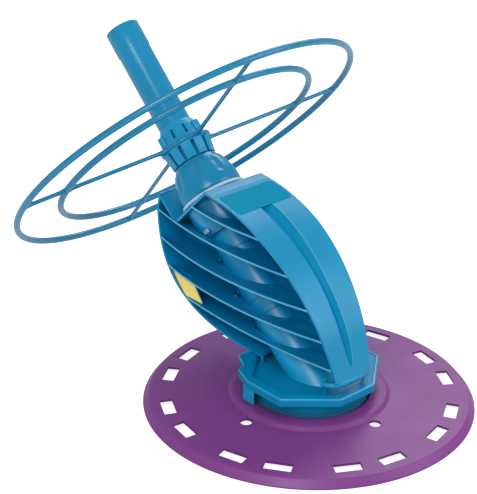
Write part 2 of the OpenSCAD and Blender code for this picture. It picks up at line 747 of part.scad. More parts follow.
label_t = 0.4;
label_a = [71, 84];
label_half = 36;
module front_label() color(teal) translate([0, front_centre[0], front_centre[1]]) rotate([0, 90, 0])
    rotate([0, 0, 270 - label_a[1]]) rotate_extrude(angle = label_a[1] - label_a[0], $fn = 180)
    translate([front_r + 0.05, -label_half]) square([label_t, 2 * label_half]);

module side_label() color(yellow) along_x(-infill_x - label_t - 0.05, -infill_x - 0.05)
    infill_outline(0.6);

disc();
footpad();
foot_base();
main_tube();
shell_left();
shell_right();
shell_screws();
lock_collar();
release_button_left();
release_button_right();
release_spring_left();
release_spring_right();
cassette_outer();
cassette_inner();
diaphragm();
diaphragm_ring();
inner_pipe();
compression_ring();
pipe_seal();
hand_nut();
swivel_washer();
outer_pipe();
wheel_hub_lower();
wheel_hub_upper();
wheel_centre_ring();
wheel_spokes();
wheel_inner_ring();
wheel_outer_ring();
front_label();
side_label();
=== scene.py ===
"""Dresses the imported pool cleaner: smooth, round-edged plastic pieces over its solids, and a stage.

Shapes are drawn in millimetres and turned into metres when a piece is made. The cleaner stands on the
floor at the origin, faces -Y, and its tube leans back along AXIS from PIVOT.
"""

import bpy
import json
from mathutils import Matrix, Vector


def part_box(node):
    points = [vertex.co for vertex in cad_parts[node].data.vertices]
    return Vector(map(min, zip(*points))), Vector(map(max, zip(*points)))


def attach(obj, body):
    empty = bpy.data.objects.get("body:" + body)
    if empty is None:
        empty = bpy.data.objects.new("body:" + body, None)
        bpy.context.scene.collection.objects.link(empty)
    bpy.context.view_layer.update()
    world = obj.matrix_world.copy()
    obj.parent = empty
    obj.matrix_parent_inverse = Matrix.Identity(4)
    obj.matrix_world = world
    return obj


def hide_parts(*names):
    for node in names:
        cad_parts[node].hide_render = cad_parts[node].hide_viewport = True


bl_info = {
    "name": "Pool Cleaner Dressing",
    "version": (1, 0, 0),
    "blender": (4, 5, 0),
    "location": "View3D > Sidebar > Pool Cleaner",
    "description": "Builds the looks of a suction pool cleaner around its packed frame",
    "category": "Object",
}

import json
import math
from functools import cache, cached_property

import bmesh
import bpy
from bpy.props import FloatProperty, FloatVectorProperty, IntProperty, PointerProperty
from mathutils import Matrix, Vector

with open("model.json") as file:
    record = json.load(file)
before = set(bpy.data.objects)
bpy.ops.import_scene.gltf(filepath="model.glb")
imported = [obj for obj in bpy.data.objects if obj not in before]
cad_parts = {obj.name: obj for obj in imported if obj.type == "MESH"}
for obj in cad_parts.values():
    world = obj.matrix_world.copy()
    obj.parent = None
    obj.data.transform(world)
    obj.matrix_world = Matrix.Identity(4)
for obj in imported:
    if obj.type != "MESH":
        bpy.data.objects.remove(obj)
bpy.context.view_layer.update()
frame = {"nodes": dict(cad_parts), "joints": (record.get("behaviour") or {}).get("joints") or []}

MM = 0.001
BODY = "cleaner"
WHEEL_BODY = "deflector_wheel"
SIDES = ((-1, "left"), (1, "right"))

swivel = next(j for j in frame["joints"] if j["name"] == "pipe_swivel")
PIVOT = Vector(swivel["pos_m"]) / MM
AXIS = Vector(swivel["axis"]).normalized()
TILT = math.atan2(AXIS.y, AXIS.z)
SIDE = Vector((1, 0, 0))
REAR = Vector((0, math.cos(TILT), -math.sin(TILT)))


def half_width(node):
    """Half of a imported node's width along X, in metres."""
    low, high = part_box(node)
    return (high.x - low.x) / 2


def srgb(red, green, blue):
    """A colour given as 0 to 255 display values, as linear values."""
    return tuple((c / 255 / 12.92) if c <= 10 else ((c / 255 + 0.055) / 1.055) ** 2.4
                 for c in (red, green, blue))


# ---- Sizes and colours that a user may change ----


def length(name, default, description):
    return FloatProperty(name=name, default=default, description=description, unit="LENGTH", precision=4)


def degrees(name, default, description):
    return FloatProperty(name=name, default=math.radians(default), description=description,
                         subtype="ANGLE")


def colour(name, default, description):
    return FloatVectorProperty(name=name, default=srgb(*default), description=description,
                               subtype="COLOR", size=3, min=0, max=1)


class DiscSizes(bpy.types.PropertyGroup):
    radius: length("Radius", half_width("disc"), "Outer radius of the flexible disc")
    rim_height: length("Rim height", 0.010, "Height of the sloping rim")
    rim_width: length("Rim width", 0.007, "Width of the sloping rim")
    collar_radius: length("Collar radius", 0.091, "Radius of the raised collar")
    slot_inset: length("Slot inset", 0.0267, "From the disc's edge to the middle of a slot")
    slot_length: length("Slot length", 0.032, "Length of a slot")
    slot_width: length("Slot width", 0.015, "Width of a slot")
    slot_pairs: IntProperty(name="Slot pairs", default=8, description="Pairs of slots round the disc")
    hole_radius: length("Hole radius", 0.007, "Radius of the four lifting holes")
    hole_ring: length("Hole ring", 0.104, "Distance of the lifting holes from the centre")
    pair_angle: degrees("Pair angle", 18.5, "Angle between the two slots of a pair")
    turn: degrees("Turn", 3, "Turn of the disc's pattern from the front")


class PodSizes(bpy.types.PropertyGroup):
    front_radius: length("Front radius", 0.222, "Radius of the front band's curve")
    foot_half: length("Foot half width", 0.0265, "Half width of the front band at its foot")
    top_half: length("Top half width", 0.0445, "Half width of the front band at its top")
    back_half: length("Back half width", 0.0385, "Greatest half width of the back band")
    band: length("Band thickness", 0.003, "Thickness of the bands")
    fin: length("Fin thickness", 0.0026, "Thickness of a fin")
    fins: IntProperty(name="Fins", default=5, description="Number of fins")
    fin_pitch: length("Fin spacing", 0.033, "Spacing of the fins")
    fin_height: length("First fin", 0.076, "Height of the lowest fin")
    swell: length("Fin swell", 0.018, "Outward swell of the fins past the bands")
    groove_depth: length("Groove depth", 0.0052, "Depth of the front groove")
    groove_half: length("Groove half width", 0.0062, "Half width of the front groove")


class LimbSizes(bpy.types.PropertyGroup):
    tube_radius: length("Tube radius", 0.0282, "Outer radius of the main tube")
    tube_top: length("Tube top", 0.204, "Distance up the axis to the main tube's top")
    collar_radius: length("Collar radius", 0.0385, "Largest radius of the lock collar")
    nut_radius: length("Nut radius", 0.0394, "Largest radius of the hand nut")
    nut_hollows: IntProperty(name="Nut hollows", default=8, description="Finger hollows in the nut")
    pipe_radius: length("Pipe radius", 0.0204, "Outer radius of the extension pipe")
    pipe_top: length("Pipe top", 0.475, "Distance up the axis to the pipe's top")


class WheelSizes(bpy.types.PropertyGroup):
    outer_radius: length("Outer ring", half_width("wheel_outer_ring") - 0.004, "Outer ring's radius")
    inner_radius: length("Inner ring", half_width("wheel_inner_ring") - 0.004, "Inner ring's radius")
    ring_rod: length("Ring rod", 0.004, "Radius of the rings' rods")
    spoke_rod: length("Spoke rod", 0.0027, "Radius of the spokes' rods")
    centre_ring: length("Centre ring", 0.0302, "Radius of the ring round the hub")
    plane: length("Wheel plane", 0.309, "Distance up the axis to the wheel's plane")
    spokes: IntProperty(name="Spokes", default=4, description="Number of spokes")
    spoke_offset: length("Spoke offset", 0.006, "Distance by which a spoke passes beside the axis")
    spoke_turn: degrees("Spoke turn", 10.5, "Turn of the spokes from the side")


class Colours(bpy.types.PropertyGroup):
    blue: colour("Blue", (3, 160, 212), "Blue plastic")
    # Edge blue is a painted highlight on the fins' outer edges and the groove's far rim; a tone of it is also
    # the front label's printed strip
    edge: colour("Edge blue", (84, 182, 230), "Thin blue edges, which let light through")
    # Deep blue is painted shade: the shaded blue deep between the fins, which the bosses' dark sockets take
    # darkened
    deep: colour("Deep blue", (10, 88, 142), "Blue plastic deep between the fins")
    purple: colour("Purple", (142, 65, 152), "Purple disc")
    teal: colour("Teal", (0, 158, 198), "Blank front label")
    yellow: colour("Yellow", (240, 214, 120), "Blank side label")
    floor: colour("Floor", (250, 250, 250), "Floor")


class StageSettings(bpy.types.PropertyGroup):
    lens: FloatProperty(name="Lens", default=137.46, description="Focal length in millimetres")
    roll: degrees("Roll", 0.86, "Roll of the camera")
    key: FloatProperty(name="Key light", default=30, description="Power of the main light, in watts")
    fill: FloatProperty(name="Fill light", default=13, description="Power of the front light, in watts")
    rim: FloatProperty(name="Rim light", default=16, description="Power of the rear light, in watts")
    sky: FloatProperty(name="Sky", default=0.42, description="Strength of the light from all round")


GROUPS = {"pc_disc": DiscSizes, "pc_pod": PodSizes, "pc_limb": LimbSizes, "pc_wheel": WheelSizes,
          "pc_colours": Colours, "pc_stage": StageSettings}


class Sizes:
    """The lengths of a property group in millimetres, and its other values as they are."""

    def __init__(self, group):
        self.group = group

    def __getattr__(self, name):
        value = getattr(self.group, name)
        is_length = self.group.bl_rna.properties[name].unit == "LENGTH"
        return value / MM if is_length else value


# ---- Drawing in two dimensions ----


def arc(centre, radius, start, end, steps):
    """Points of an arc, from one angle to another, in degrees."""
    angles = [math.radians(start + (end - start) * i / steps) for i in range(steps + 1)]
    return [(centre[0] + radius * math.cos(a), centre[1] + radius * math.sin(a)) for a in angles]


def circle(radius, steps, centre=(0, 0)):
    """Points of a full circle, each of them once."""
    return arc(centre, radius, 0, 360, steps)[:-1]


def rectangle(left, right, low, high):
    return [(left, low), (right, low), (right, high), (left, high)]


def bend_point(start, corner, end, u):
    """A point, at u from 0 to 1, of the smooth bend that leads from start round a corner to end."""
    return start * (1 - u) ** 2 + corner * 2 * u * (1 - u) + end * u * u


def fillet(outline, radius, steps=3, least_turn=20):
    """A closed outline with its corners rounded, where they turn by more than least_turn degrees."""
    points = [Vector(p) for p in outline]
    rounded = []
    for i, corner in enumerate(points):
        before, after = points[i - 1] - corner, points[(i + 1) % len(points)] - corner
        turn = math.pi - before.angle(after, math.pi)
        if math.degrees(turn) < least_turn:
            rounded.append(tuple(corner))
            continue
        reach = min(radius * math.tan(turn / 2), 0.42 * before.length, 0.42 * after.length)
        start, end = corner + before.normalized() * reach, corner + after.normalized() * reach
        rounded += [tuple(bend_point(start, corner, end, step / steps)) for step in range(steps + 1)]
    return rounded


def between(low, high, value):
    """How far value is from low to high, from 0 to 1."""
    return min(max((value - low) / (high - low), 0), 1)


def smooth_step(u):
    """Eases a share from 0 to 1, level at both ends."""
    return u * u * (3 - 2 * u)


def solve(function, low, high):
    """Where a function that changes sign from low to high is zero."""
    sign = function(low) > 0
    for _ in range(50):
        middle = (low + high) / 2
        if (function(middle) > 0) == sign:
            low = middle
        else:
            high = middle
    return (low + high) / 2


# ---- Placing in three dimensions ----


def on_limb(x, rear, s):
    """A point x to the side, rear behind and s up the leaning axis."""
    return PIVOT + SIDE * x + REAR * rear + AXIS * s


def up_axis(y, z):
    """How far up the leaning axis a point at Y and Z lies."""
    return (Vector((0, y, z)) - PIVOT).dot(AXIS)


def on_axis(s, front):
    """The Y and Z of a point s up the axis and front before it."""
    point = on_limb(0, -front, s)
    return point.y, point.z


def upright(x, y, z):
    """For outlines drawn in X and Y and raised along Z."""
    return Vector((x, y, z))


def across(y, z, x):
    """For outlines drawn in Y and Z and extruded along X."""
    return Vector((x, y, z))


def side_span(side, inner, outer):
    """The low and high X of what lies from inner to outer on one side of the middle."""
    return sorted((side * inner, side * outer))


# ---- Building meshes ----


class Shape:
    """A mesh being drawn, in millimetres, out of closed solids."""

    def __init__(self):
        self.mesh = bmesh.new()

    def loft(self, loops, ring=False):
        """A solid through closed loops of equally many points; ring joins the last to the first."""
        rows = [[self.mesh.verts.new(p) for p in loop] for loop in loops]
        pairs = list(zip(rows, rows[1:] + rows[:1])) if ring else list(zip(rows, rows[1:]))
        for low, high in pairs:
            for i in range(len(low)):
                j = (i + 1) % len(low)
                self.mesh.faces.new((low[i], low[j], high[j], high[i]))
        if not ring:
            self.mesh.faces.new(rows[0][::-1])
            self.mesh.faces.new(rows[-1])
        return self

    def prism(self, outline, low, high, place=upright):
        """A closed outline carried from low to high along its third direction."""
        return self.loft([[place(u, v, w) for u, v in outline] for w in (low, high)])

    def lathe(self, outline, steps=96, place=on_limb, radius=None, angles=None):
        """A closed outline of (radius, height) turned all round. radius(angle, r, s) may reshape it."""
        angles = angles or [2 * math.pi * i / steps for i in range(steps)]
        loops = []
        for angle in angles:
            loop = []
            for r, s in outline:
                at = radius(angle, r, s) if radius else r
                loop.append(place(at * math.sin(angle), -at * math.cos(angle), s))
            loops.append(loop)
        return self.loft(loops, ring=True)

    def rod(self, path, radii, sides=16, ring=False):
        """A round rod along a path of points, with one radius or one for each point."""
        count = len(path)
        radii = [radii] * count if isinstance(radii, (int, float)) else radii
        across_path = None
        loops = []
        for i, point in enumerate(path):
            before = path[i - 1] if i or ring else path[i]
            after = path[(i + 1) % count] if i < count - 1 or ring else path[i]
            along = (after - before).normalized()
            first = across_path or along.orthogonal()
            across_path = (first - along * first.dot(along)).normalized()
            other = along.cross(across_path)
            loops.append([point + (across_path * math.cos(a) + other * math.sin(a)) * radii[i]
                          for a in (2 * math.pi * k / sides for k in range(sides))])
        return self.loft(loops, ring)

    def object(self, name):
        """The drawn mesh as a Blender object, in metres."""
        bmesh.ops.remove_doubles(self.mesh, verts=self.mesh.verts, dist=1e-5)
        bmesh.ops.recalc_face_normals(self.mesh, faces=self.mesh.faces)
        bmesh.ops.scale(self.mesh, vec=(MM, MM, MM), verts=self.mesh.verts)
        data = bpy.data.meshes.new(name)
        self.mesh.to_mesh(data)
        self.mesh.free()
        made = bpy.data.objects.new(name, data)
        bpy.context.scene.collection.objects.link(made)
        return made


def carve(target, cutter):
    """Cuts one object out of another and removes the cutter."""
    cut = target.modifiers.new("carve", "BOOLEAN")
    cut.operation = "DIFFERENCE"
    cut.solver = "EXACT"
    cut.object = cutter
    bpy.context.view_layer.update()
    evaluated = target.evaluated_get(bpy.context.evaluated_depsgraph_get())
    data = bpy.data.meshes.new_from_object(evaluated)
    target.modifiers.remove(cut)
    target.data = data
    bpy.data.objects.remove(cutter)
    return target


SMOOTH_UNDER = math.radians(38)


def piece(made, material, body=BODY, replaces=(), rounding=0.0, segments=3):
    data = made.data
    data.materials.clear()
    data.materials.append(material)
    data.polygons.foreach_set("use_smooth", [True] * len(data.polygons))
    if rounding:
        bevel = made.modifiers.new("round_edges", "BEVEL")
        bevel.width = rounding * MM
        bevel.segments = segments
        bevel.limit_method = "ANGLE"
        bevel.angle_limit = SMOOTH_UNDER
        bevel.use_clamp_overlap = True
        bevel.harden_normals = True
    else:
        data.set_sharp_from_angle(angle=SMOOTH_UNDER)
    if replaces:
        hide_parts(*replaces)
    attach(made, body)
    return made


# ---- Materials ----


class Value:
    """A shader socket that can stand in arithmetic: each operator adds a Math node."""

    def __init__(self, finish, socket):
        self.finish, self.socket = finish, socket

    def math(self, operation, first, second):
        return self.finish.add("ShaderNodeMath", {"operation": operation}, {0: first, 1: second})

    def __add__(self, other):
        return self.math("ADD", self, other)

    def __radd__(self, other):
        return self.math("ADD", other, self)

    def __mul__(self, other):
        return self.math("MULTIPLY", self, other)

    def __rmul__(self, other):
        return self.math("MULTIPLY", other, self)

    def __pow__(self, other):
        return self.math("POWER", self, other)


class Finish:
    """A material, or the world, being made of nodes."""

    def __init__(self, owner):
        owner.use_nodes = True
        self.tree = owner.node_tree
        self.tree.nodes.clear()

    @cached_property
    def place(self):
        """Where a point lies in its piece, in metres."""
        return self.add("ShaderNodeTexCoord", {}, {}, "Object")

    def add(self, kind, settings, sockets, output=0):
        """Adds a node: its settings first, then its sockets' values or links. Returns one output."""
        node = self.tree.nodes.new(kind)
        for name, value in settings.items():
            setattr(node, name, value)
        for name, value in sockets.items():
            if isinstance(value, Value):
                self.tree.links.new(value.socket, node.inputs[name])
            else:
                node.inputs[name].default_value = value
        return Value(self, node.outputs[output]) if node.outputs else None

    def noise(self, scale, detail=2):
        return self.add("ShaderNodeTexNoise", {},
                        {"Vector": self.place, "Scale": scale, "Detail": detail}, "Fac")

    def spread(self, value, low, high):
        """The value's part from low to high, stretched to run from 0 to 1."""
        return self.add("ShaderNodeMapRange", {"clamp": True},
                        {"Value": value, "From Min": low, "From Max": high})

    def mix(self, share, first, second):
        first, second = (v if isinstance(v, Value) else (*v, 1) for v in (first, second))
        return self.add("ShaderNodeMix", {"data_type": "RGBA"}, {0: share, 6: first, 7: second}, 2)

    def openness(self, reach):
        """1 in the open and less in hollows, looking as far as reach, in metres."""
        return self.add("ShaderNodeAmbientOcclusion", {"samples": 8}, {"Distance": reach}, "AO")

    def bump(self, height, strength, distance):
        return self.add("ShaderNodeBump", {},
                        {"Height": height, "Strength": strength, "Distance": distance})

    def surface(self, sockets):
        """Ends a material with its shader, whose sockets are given."""
        shader = self.add("ShaderNodeBsdfPrincipled", {}, sockets)
        self.add("ShaderNodeOutputMaterial", {}, {"Surface": shader})


def tone(shade, factor):
    """A colour made lighter or darker."""
    return tuple(min(c * factor, 1) for c in shade)


def moulded_plastic(finish, face, hollow=None, gloss=0.3, reach=0.03, sheen=0.3):
    """Moulded plastic: faint clouding, a fine skin, dust-dull patches, painted shade in its hollows and a
    painted highlight on its sharp edges.

    hollow is the colour of the painted shade in its hollows, gloss its least roughness, reach how far that
    painted shade goes, in metres, and sheen its specular level.
    """
    cloud = finish.spread(finish.noise(14, 3), 0.35, 0.65)
    shade = finish.mix(cloud, tone(face, 0.94), tone(face, 1.05))
    # Painted shade: the hollow colour where ambient occlusion finds hollows
    painted_shade_mask = finish.spread(finish.openness(reach), 0.25, 0.95)
    shade = finish.mix(painted_shade_mask, hollow or tone(face, 0.45), shade)
    # Painted highlight: paler on sharp edges, where light would catch them
    painted_edge_highlight = finish.spread(finish.add("ShaderNodeNewGeometry", {}, {}, "Pointiness"), 0.53, 0.62)
    shade = finish.mix(painted_edge_highlight * 0.45, shade, tone(face, 1.7))
    finish.surface({
        "Base Color": shade,
        "Roughness": gloss + 0.1 * finish.spread(finish.noise(35, 4), 0.35, 0.75),
        "Normal": finish.bump(finish.noise(1400) * 0.3 + finish.noise(60, 1), 0.2, 0.0004),
        "Specular IOR Level": sheen,
        "IOR": 1.5,
    })


def flexible_disc(finish, purple, outer):
    """Soft moulded sheet: satin skin, faint rings from its mould, a painted highlight along its outer edge
    and painted shade in its hollows.
    """
    x, y = (finish.add("ShaderNodeSeparateXYZ", {}, {0: finish.place}, axis) for axis in "XY")
    radius = (x * x + y * y) ** 0.5
    cloud = finish.spread(finish.noise(9, 4), 0.3, 0.7)
    shade = finish.mix(cloud, tone(purple, 0.93), tone(purple, 1.08))
    # Painted highlight: paler towards the outer edge
    rim = finish.spread(radius, 0.93 * outer, outer)
    shade = finish.mix(rim * 0.35, shade, tone(purple, 1.25))
    # Painted shade: darker in its hollows
    painted_shade_mask = finish.spread(finish.openness(0.012), 0.3, 0.95)
    shade = finish.mix(painted_shade_mask, tone(purple, 0.5), shade)
    rings = finish.add("ShaderNodeMath", {"operation": "SINE"}, {0: radius * 900})
    skin = finish.noise(1100) * 0.4 + rings * 0.12 + finish.noise(70) * 0.6
    finish.surface({
        "Base Color": shade,
        "Roughness": 0.35 + 0.12 * finish.noise(24, 4),
        "Normal": finish.bump(skin, 0.2, 0.0004),
        "IOR": 1.5,
    })


def printed_film(finish, shade, worn_shade, glow=0.0):
    """A blank printed label: smooth film with a hair of wear, and a glow that brightens it as painted light.
    """
    worn = finish.spread(finish.noise(160, 4), 0.62, 0.8)
    finish.surface({
        "Base Color": finish.mix(worn * 0.25, shade, worn_shade),
        # Painted light: the film glows in its own colour, as strongly as glow
        "Emission Color": (*shade, 1),
        "Emission Strength": glow,
        "Specular IOR Level": 0.04,
        "Roughness": 0.5 + 0.08 * finish.noise(50, 3),
        "Normal": finish.bump(finish.noise(90), 0.05, 0.0003),
    })


def bare_steel(finish):
    """Steel wire and screws, with a brushed grain."""
    brushed = finish.noise(420, 3)
    finish.surface({
        "Base Color": finish.mix(brushed, (0.5, 0.51, 0.53), (0.68, 0.69, 0.71)),
        "Metallic": 1.0,
        "Roughness": 0.28 + 0.15 * brushed,
    })


def soft_rubber(finish, shade):
    """Dull cloudy rubber."""
    cloud = finish.noise(60, 4)
    finish.surface({
        "Base Color": finish.mix(cloud, tone(shade, 0.8), tone(shade, 1.3)),
        "Roughness": 0.6 + 0.2 * cloud,
        "Normal": finish.bump(finish.noise(900), 0.15, 0.0003),
    })


# The plastics in the cleaner's blue, as lighter and darker copies of one plastic whose tones stand in for
# how much light falls on each piece (painted light and shade): tube, hub and bead lighter, limb, wheel,
# groove, fin and foot darker. Each gives the tone of its face and of the painted shade in its hollows,
# then gloss, reach and sheen.
BLUE_PLASTICS = {
    "blue_plastic": (1, 0.6, 0.3, 0.02, 0.5),
    "tube_plastic": (1.15, 0.8, 0.3, 0.02, 0.7),
    "foot_plastic": (0.95, 0.55, 0.3, 0.02, 0.2),
    "bead_plastic": (1.15, 1, 0.14, 0.01, 1),
    "hub_plastic": (1.1, 0.6, 0.3, 0.006, 0.5),
    "groove_plastic": (0.9, 0.8, 0.5, 0.004, 0.1),
    "limb_plastic": (0.9, 0.6, 0.18, 0.02, 0.55),
    "fin_plastic": (0.95, 0.85, 0.3, 0.05, 0.3),
    "wheel_plastic": (0.8, 0.7, 0.16, 0.03, 0.7),
}

OTHER_FINISHES = {
    # Painted highlight: the paler blue for lit edges
    "edge_plastic": lambda f, shades: moulded_plastic(f, shades.edge, shades.blue, reach=0.01),
    # Painted highlight: the pale flange under the nut
    "rim_plastic": lambda f, shades: moulded_plastic(f, (0.6, 0.8, 0.95), tone(shades.blue, 0.8),
                                                     gloss=0.2, reach=0.003),
    "grey_plastic": lambda f, shades: moulded_plastic(f, (0.28, 0.29, 0.31)),
    # Painted highlight: the pale release buttons
    "pale_plastic": lambda f, shades: moulded_plastic(f, (0.45, 0.58, 0.72), gloss=0.2, reach=0.004),
    # Painted glint: the white of the bosses' pins
    "white_plastic": lambda f, shades: moulded_plastic(f, (0.85, 0.9, 0.95), gloss=0.2, reach=0.002),
    # Painted shade: the bosses' dark sockets
    "dark_recess": lambda f, shades: moulded_plastic(f, tone(shades.deep, 0.35), gloss=0.5),
    "pad_rubber": lambda f, shades: soft_rubber(f, (0.03, 0.16, 0.3)),
    "black_rubber": lambda f, shades: soft_rubber(f, (0.02, 0.02, 0.022)),
    "steel": lambda f, shades: bare_steel(f),
    "purple_disc": lambda f, shades: flexible_disc(f, shades.purple, bpy.context.scene.pc_disc.radius),
    "teal_film": lambda f, shades: printed_film(f, shades.teal, tone(shades.teal, 1.4)),
    "pale_film": lambda f, shades: printed_film(f, tone(shades.edge, 0.95), shades.edge),
    # The yellow label glows: painted light that brightens it where the fins shade it
    "yellow_film": lambda f, shades: printed_film(f, shades.yellow, tone(shades.yellow, 1.1), 0.3),
}


def material(name):
    """The material of that name, made when it is first asked for."""
    title = name + "_finish"
    if title not in bpy.data.materials:
        finish = Finish(bpy.data.materials.new(title))
        shades = bpy.context.scene.pc_colours
        if name in BLUE_PLASTICS:
            face, hollow, *settings = BLUE_PLASTICS[name]
            moulded_plastic(finish, tone(shades.blue, face), tone(shades.blue, hollow), *settings)
        else:
            OTHER_FINISHES[name](finish, shades)
    return bpy.data.materials[title]


# ---- Pod outline, shared by the bands, the fins and the plates ----

# Y and Z of the centre of the front band's curve
FRONT_CENTRE = (145, 11)
# The slanting top plate: how far up the axis its face lies, its thickness and half its rear width
PLATE_S = 233.5
PLATE_T = 3
PLATE_BACK_HALF = 42
# The cradle behind the nut: how far before the axis its foot and its top lie, below zero because they lie
# behind it, and how far up the axis its top is and half its width
CRADLE_FOOT = -36
CRADLE_TOP = -50
CRADLE_TOP_S = 278
CRADLE_TOP_HALF = 33
# Two points of the pod's underside, and the four that steer its back's curve, in Y and Z
POD_FLOOR = ((-90, 64), (52, 45.5))
BACK_CURVE = ((237, 176), (222, 112), (204, 40), (52, 45.5))
# Heights from which and to which the front band widens
TAPER_Z = (55, 206)
# Greatest height of a fin
TOP_FIN_Z = 206


def front_point(radius, angle):
    """The Y and Z of a point of the front curve, at an angle above its centre."""
    return (FRONT_CENTRE[0] - radius * math.cos(angle), FRONT_CENTRE[1] + radius * math.sin(angle))


def floor_z(y):
    """Height of the pod's underside at y."""
    (y0, z0), (y1, z1) = POD_FLOOR
    return z0 + (z1 - z0) * (y - y0) / (y1 - y0)


@cache
def front_ends(radius):
    """Angles at which an arc of the front curve meets the pod's underside and its top plane."""
    def over_floor(a):
        y, z = front_point(radius, a)
        return z - floor_z(y)

    def over_plate(a):
        return up_axis(*front_point(radius, a)) - PLATE_S

    return solve(over_floor, 0.05, 0.5), solve(over_plate, 0.9, math.pi / 2 + 0.3)


def cubic(points, u):
    """A point, at u from 0 to 1, of the curve that four points steer."""
    a, b, c, d = (Vector(p) for p in points)
    return a * (1 - u) ** 3 + b * 3 * u * (1 - u) ** 2 + c * 3 * u * u * (1 - u) + d * u ** 3


def back_line(steps=32):
    """The pod's back edge, from the top of its cradle down to its underside."""
    top = Vector(BACK_CURVE[0]) + Vector((0, 14))
    curve = [cubic(BACK_CURVE, i / steps) for i in range(steps + 1)]
    return [Vector(on_axis(CRADLE_TOP_S, CRADLE_TOP)), top] + curve


def inset_line(line, depth):
    """A line of points moved aside by depth, toward the pod's inside."""
    moved = []
    for i, point in enumerate(line):
        along = (line[min(i + 1, len(line) - 1)] - line[max(i - 1, 0)]).normalized()
        moved.append(point + depth * Vector((along.y, -along.x)))
    return moved


def pod_outline(pod, inset):
    """The pod's side outline in Y and Z: its front just behind the band's groove, its back moved in."""
    low, high = front_ends(pod.front_radius - pod.band)
    under_plate = PLATE_S - PLATE_T / 2 + 0.1
    front = []
    for i in range(61):
        angle = low + (high - low) * i / 60
        z = front_point(pod.front_radius, angle)[1]
        y, z = front_point(pod.front_radius - groove_size(pod, z)[0] - 0.8 * pod.band, angle)
        if up_axis(y, z) < under_plate:
            front.append((y, z))
    back = [tuple(p) for p in inset_line(back_line(), inset)]
    return front + [on_axis(under_plate, CRADLE_FOOT)] + back


def plate_y(z):
    """Where the top plate's plane has height z."""
    return on_axis(PLATE_S, (z - on_axis(PLATE_S, 0)[1]) / math.sin(TILT))[0]


def line_y(line, z):
    """Where a line of points that runs downward has height z."""
    for above, below in zip(line, line[1:]):
        if below.y <= z <= above.y:
            return below.x + (above.x - below.x) * (z - below.y) / (above.y - below.y)
    return line[-1].x


def back_y(z, pitch):
    """Where a fin at height z ends at the back: at the plate above the cradle's foot, else at the band."""
    if z > on_axis(PLATE_S, CRADLE_FOOT)[1] + pitch / 2:
        return plate_y(z)
    return line_y(back_line()[2:], z)


def front_y(radius, z):
    """Where the front curve has height z."""
    return FRONT_CENTRE[0] - math.sqrt(radius ** 2 - (z - FRONT_CENTRE[1]) ** 2)


def front_half(pod, z):
    """Half width of the front band at height z."""
    return pod.foot_half + (pod.top_half - pod.foot_half) * between(*TAPER_Z, z)


def back_half(pod, z):
    """Half width of the back band at height z: widest at 125 and narrower above and below."""
    return pod.back_half - 0.0014 * (z - 125) ** 2


def fin_half(pod, z, u):
    """Half width of the fin at height z and at u, from 0 at its back to 1 at its front."""
    middle, reach, least = 133, 82, 5
    swell = max(least, pod.swell * (1 - ((z - middle) / reach) ** 2))
    back = back_half(pod, z) if z < TOP_FIN_Z else PLATE_BACK_HALF + 2
    return back * (1 - u) + front_half(pod, z) * u + 4 * swell * u * (1 - u)


def fin_fall(z, x, half):
    """How far the fin that starts at height z has dropped at x, on its way from its rim to the tube."""
    tube_half = 20
    drop = 10 - 7 * between(142, 76, z) ** 2
    return drop * between(half, tube_half, abs(x))


def limb_clearance():
    """The room that the tube, the lock collar and the nut take in the pod."""
    centre, tube, collar, nut = 0.05, 28.3, 39.1, 41.2
    outline = [(centre, -60), (tube, -60), (tube, 190), (35.6, 190), (38, 202), (38.8, 211),
               (collar, 234), (nut, 234), (nut, 290), (centre, 290)]
    return Shape().lathe(outline).object("limb_clearance")


# ---- Pod pieces ----

# Half width of the seam down the middle of the bands
SEAM = 0.25
# Y and Z of the screw bosses
BOSS_PLACES = ((138.3, 138.2), (104.8, 108.4), (68.8, 77.6))
# The rib behind the front band: half its width, how deep it reaches, and its top's place up the axis
RIB_HALF = 14
RIB_DEPTH = 17
RIB_TOP_S = 193


def groove_size(pod, z):
    """Depth and half width of the front groove at height z: pointed below and round above."""
    low, high = 63, 228
    point = 1 - (1 - between(low, 106, z)) ** 1.6
    round_end = 0.3 + 0.7 * math.sqrt(1 - (1 - between(high, high - 10, z)) ** 2)
    widening = 1 + 0.7 * smooth_step(between(160, 222, z))
    half = pod.groove_half * point * round_end * widening
    sink = smooth_step(between(low, 88, z)) * smooth_step(between(high, high - 5, z))
    depth = pod.groove_depth * min(half / pod.groove_half, 1) * sink
    return depth, max(half, 0.6)


def groove_fall(u):
    """Share of the groove's depth at u, from 0 in its middle to 1 at its edge, with round shoulders."""
    shoulder = 0.7
    return 1 - u if u < shoulder else (1 - shoulder) * ((1 - u) / (1 - shoulder)) ** 1.8


def band_section(pod, z, rib_depth):
    """Across the front band at height z: (x, depth) points, right over its face and back behind it."""
    half = front_half(pod, z)
    depth, groove = groove_size(pod, z)
    shares = [1, 0.93, 0.86, 0.78, 0.7, 0.5, 0.3, 0.12]
    left = [(-groove * u, depth * groove_fall(u)) for u in shares]
    seam = SEAM * min(depth, 1)
    middle = [(-SEAM, depth * groove_fall(0.05)), (0, depth + seam), (SEAM, depth * groove_fall(0.05))]
    face = [(-half, 0), (-half * 0.9, 0), (-(half + groove) / 2, 0), (-groove - 0.8, 0)] + left
    over = face + middle + [(-x, d) for x, d in reversed(face)]
    behind = max(rib_depth, depth + pod.band)
    under = [(half, pod.band), (RIB_HALF + 1.5, pod.band), (RIB_HALF, behind),
             (-RIB_HALF, behind), (-RIB_HALF - 1.5, pod.band), (-half, pod.band)]
    return over + under


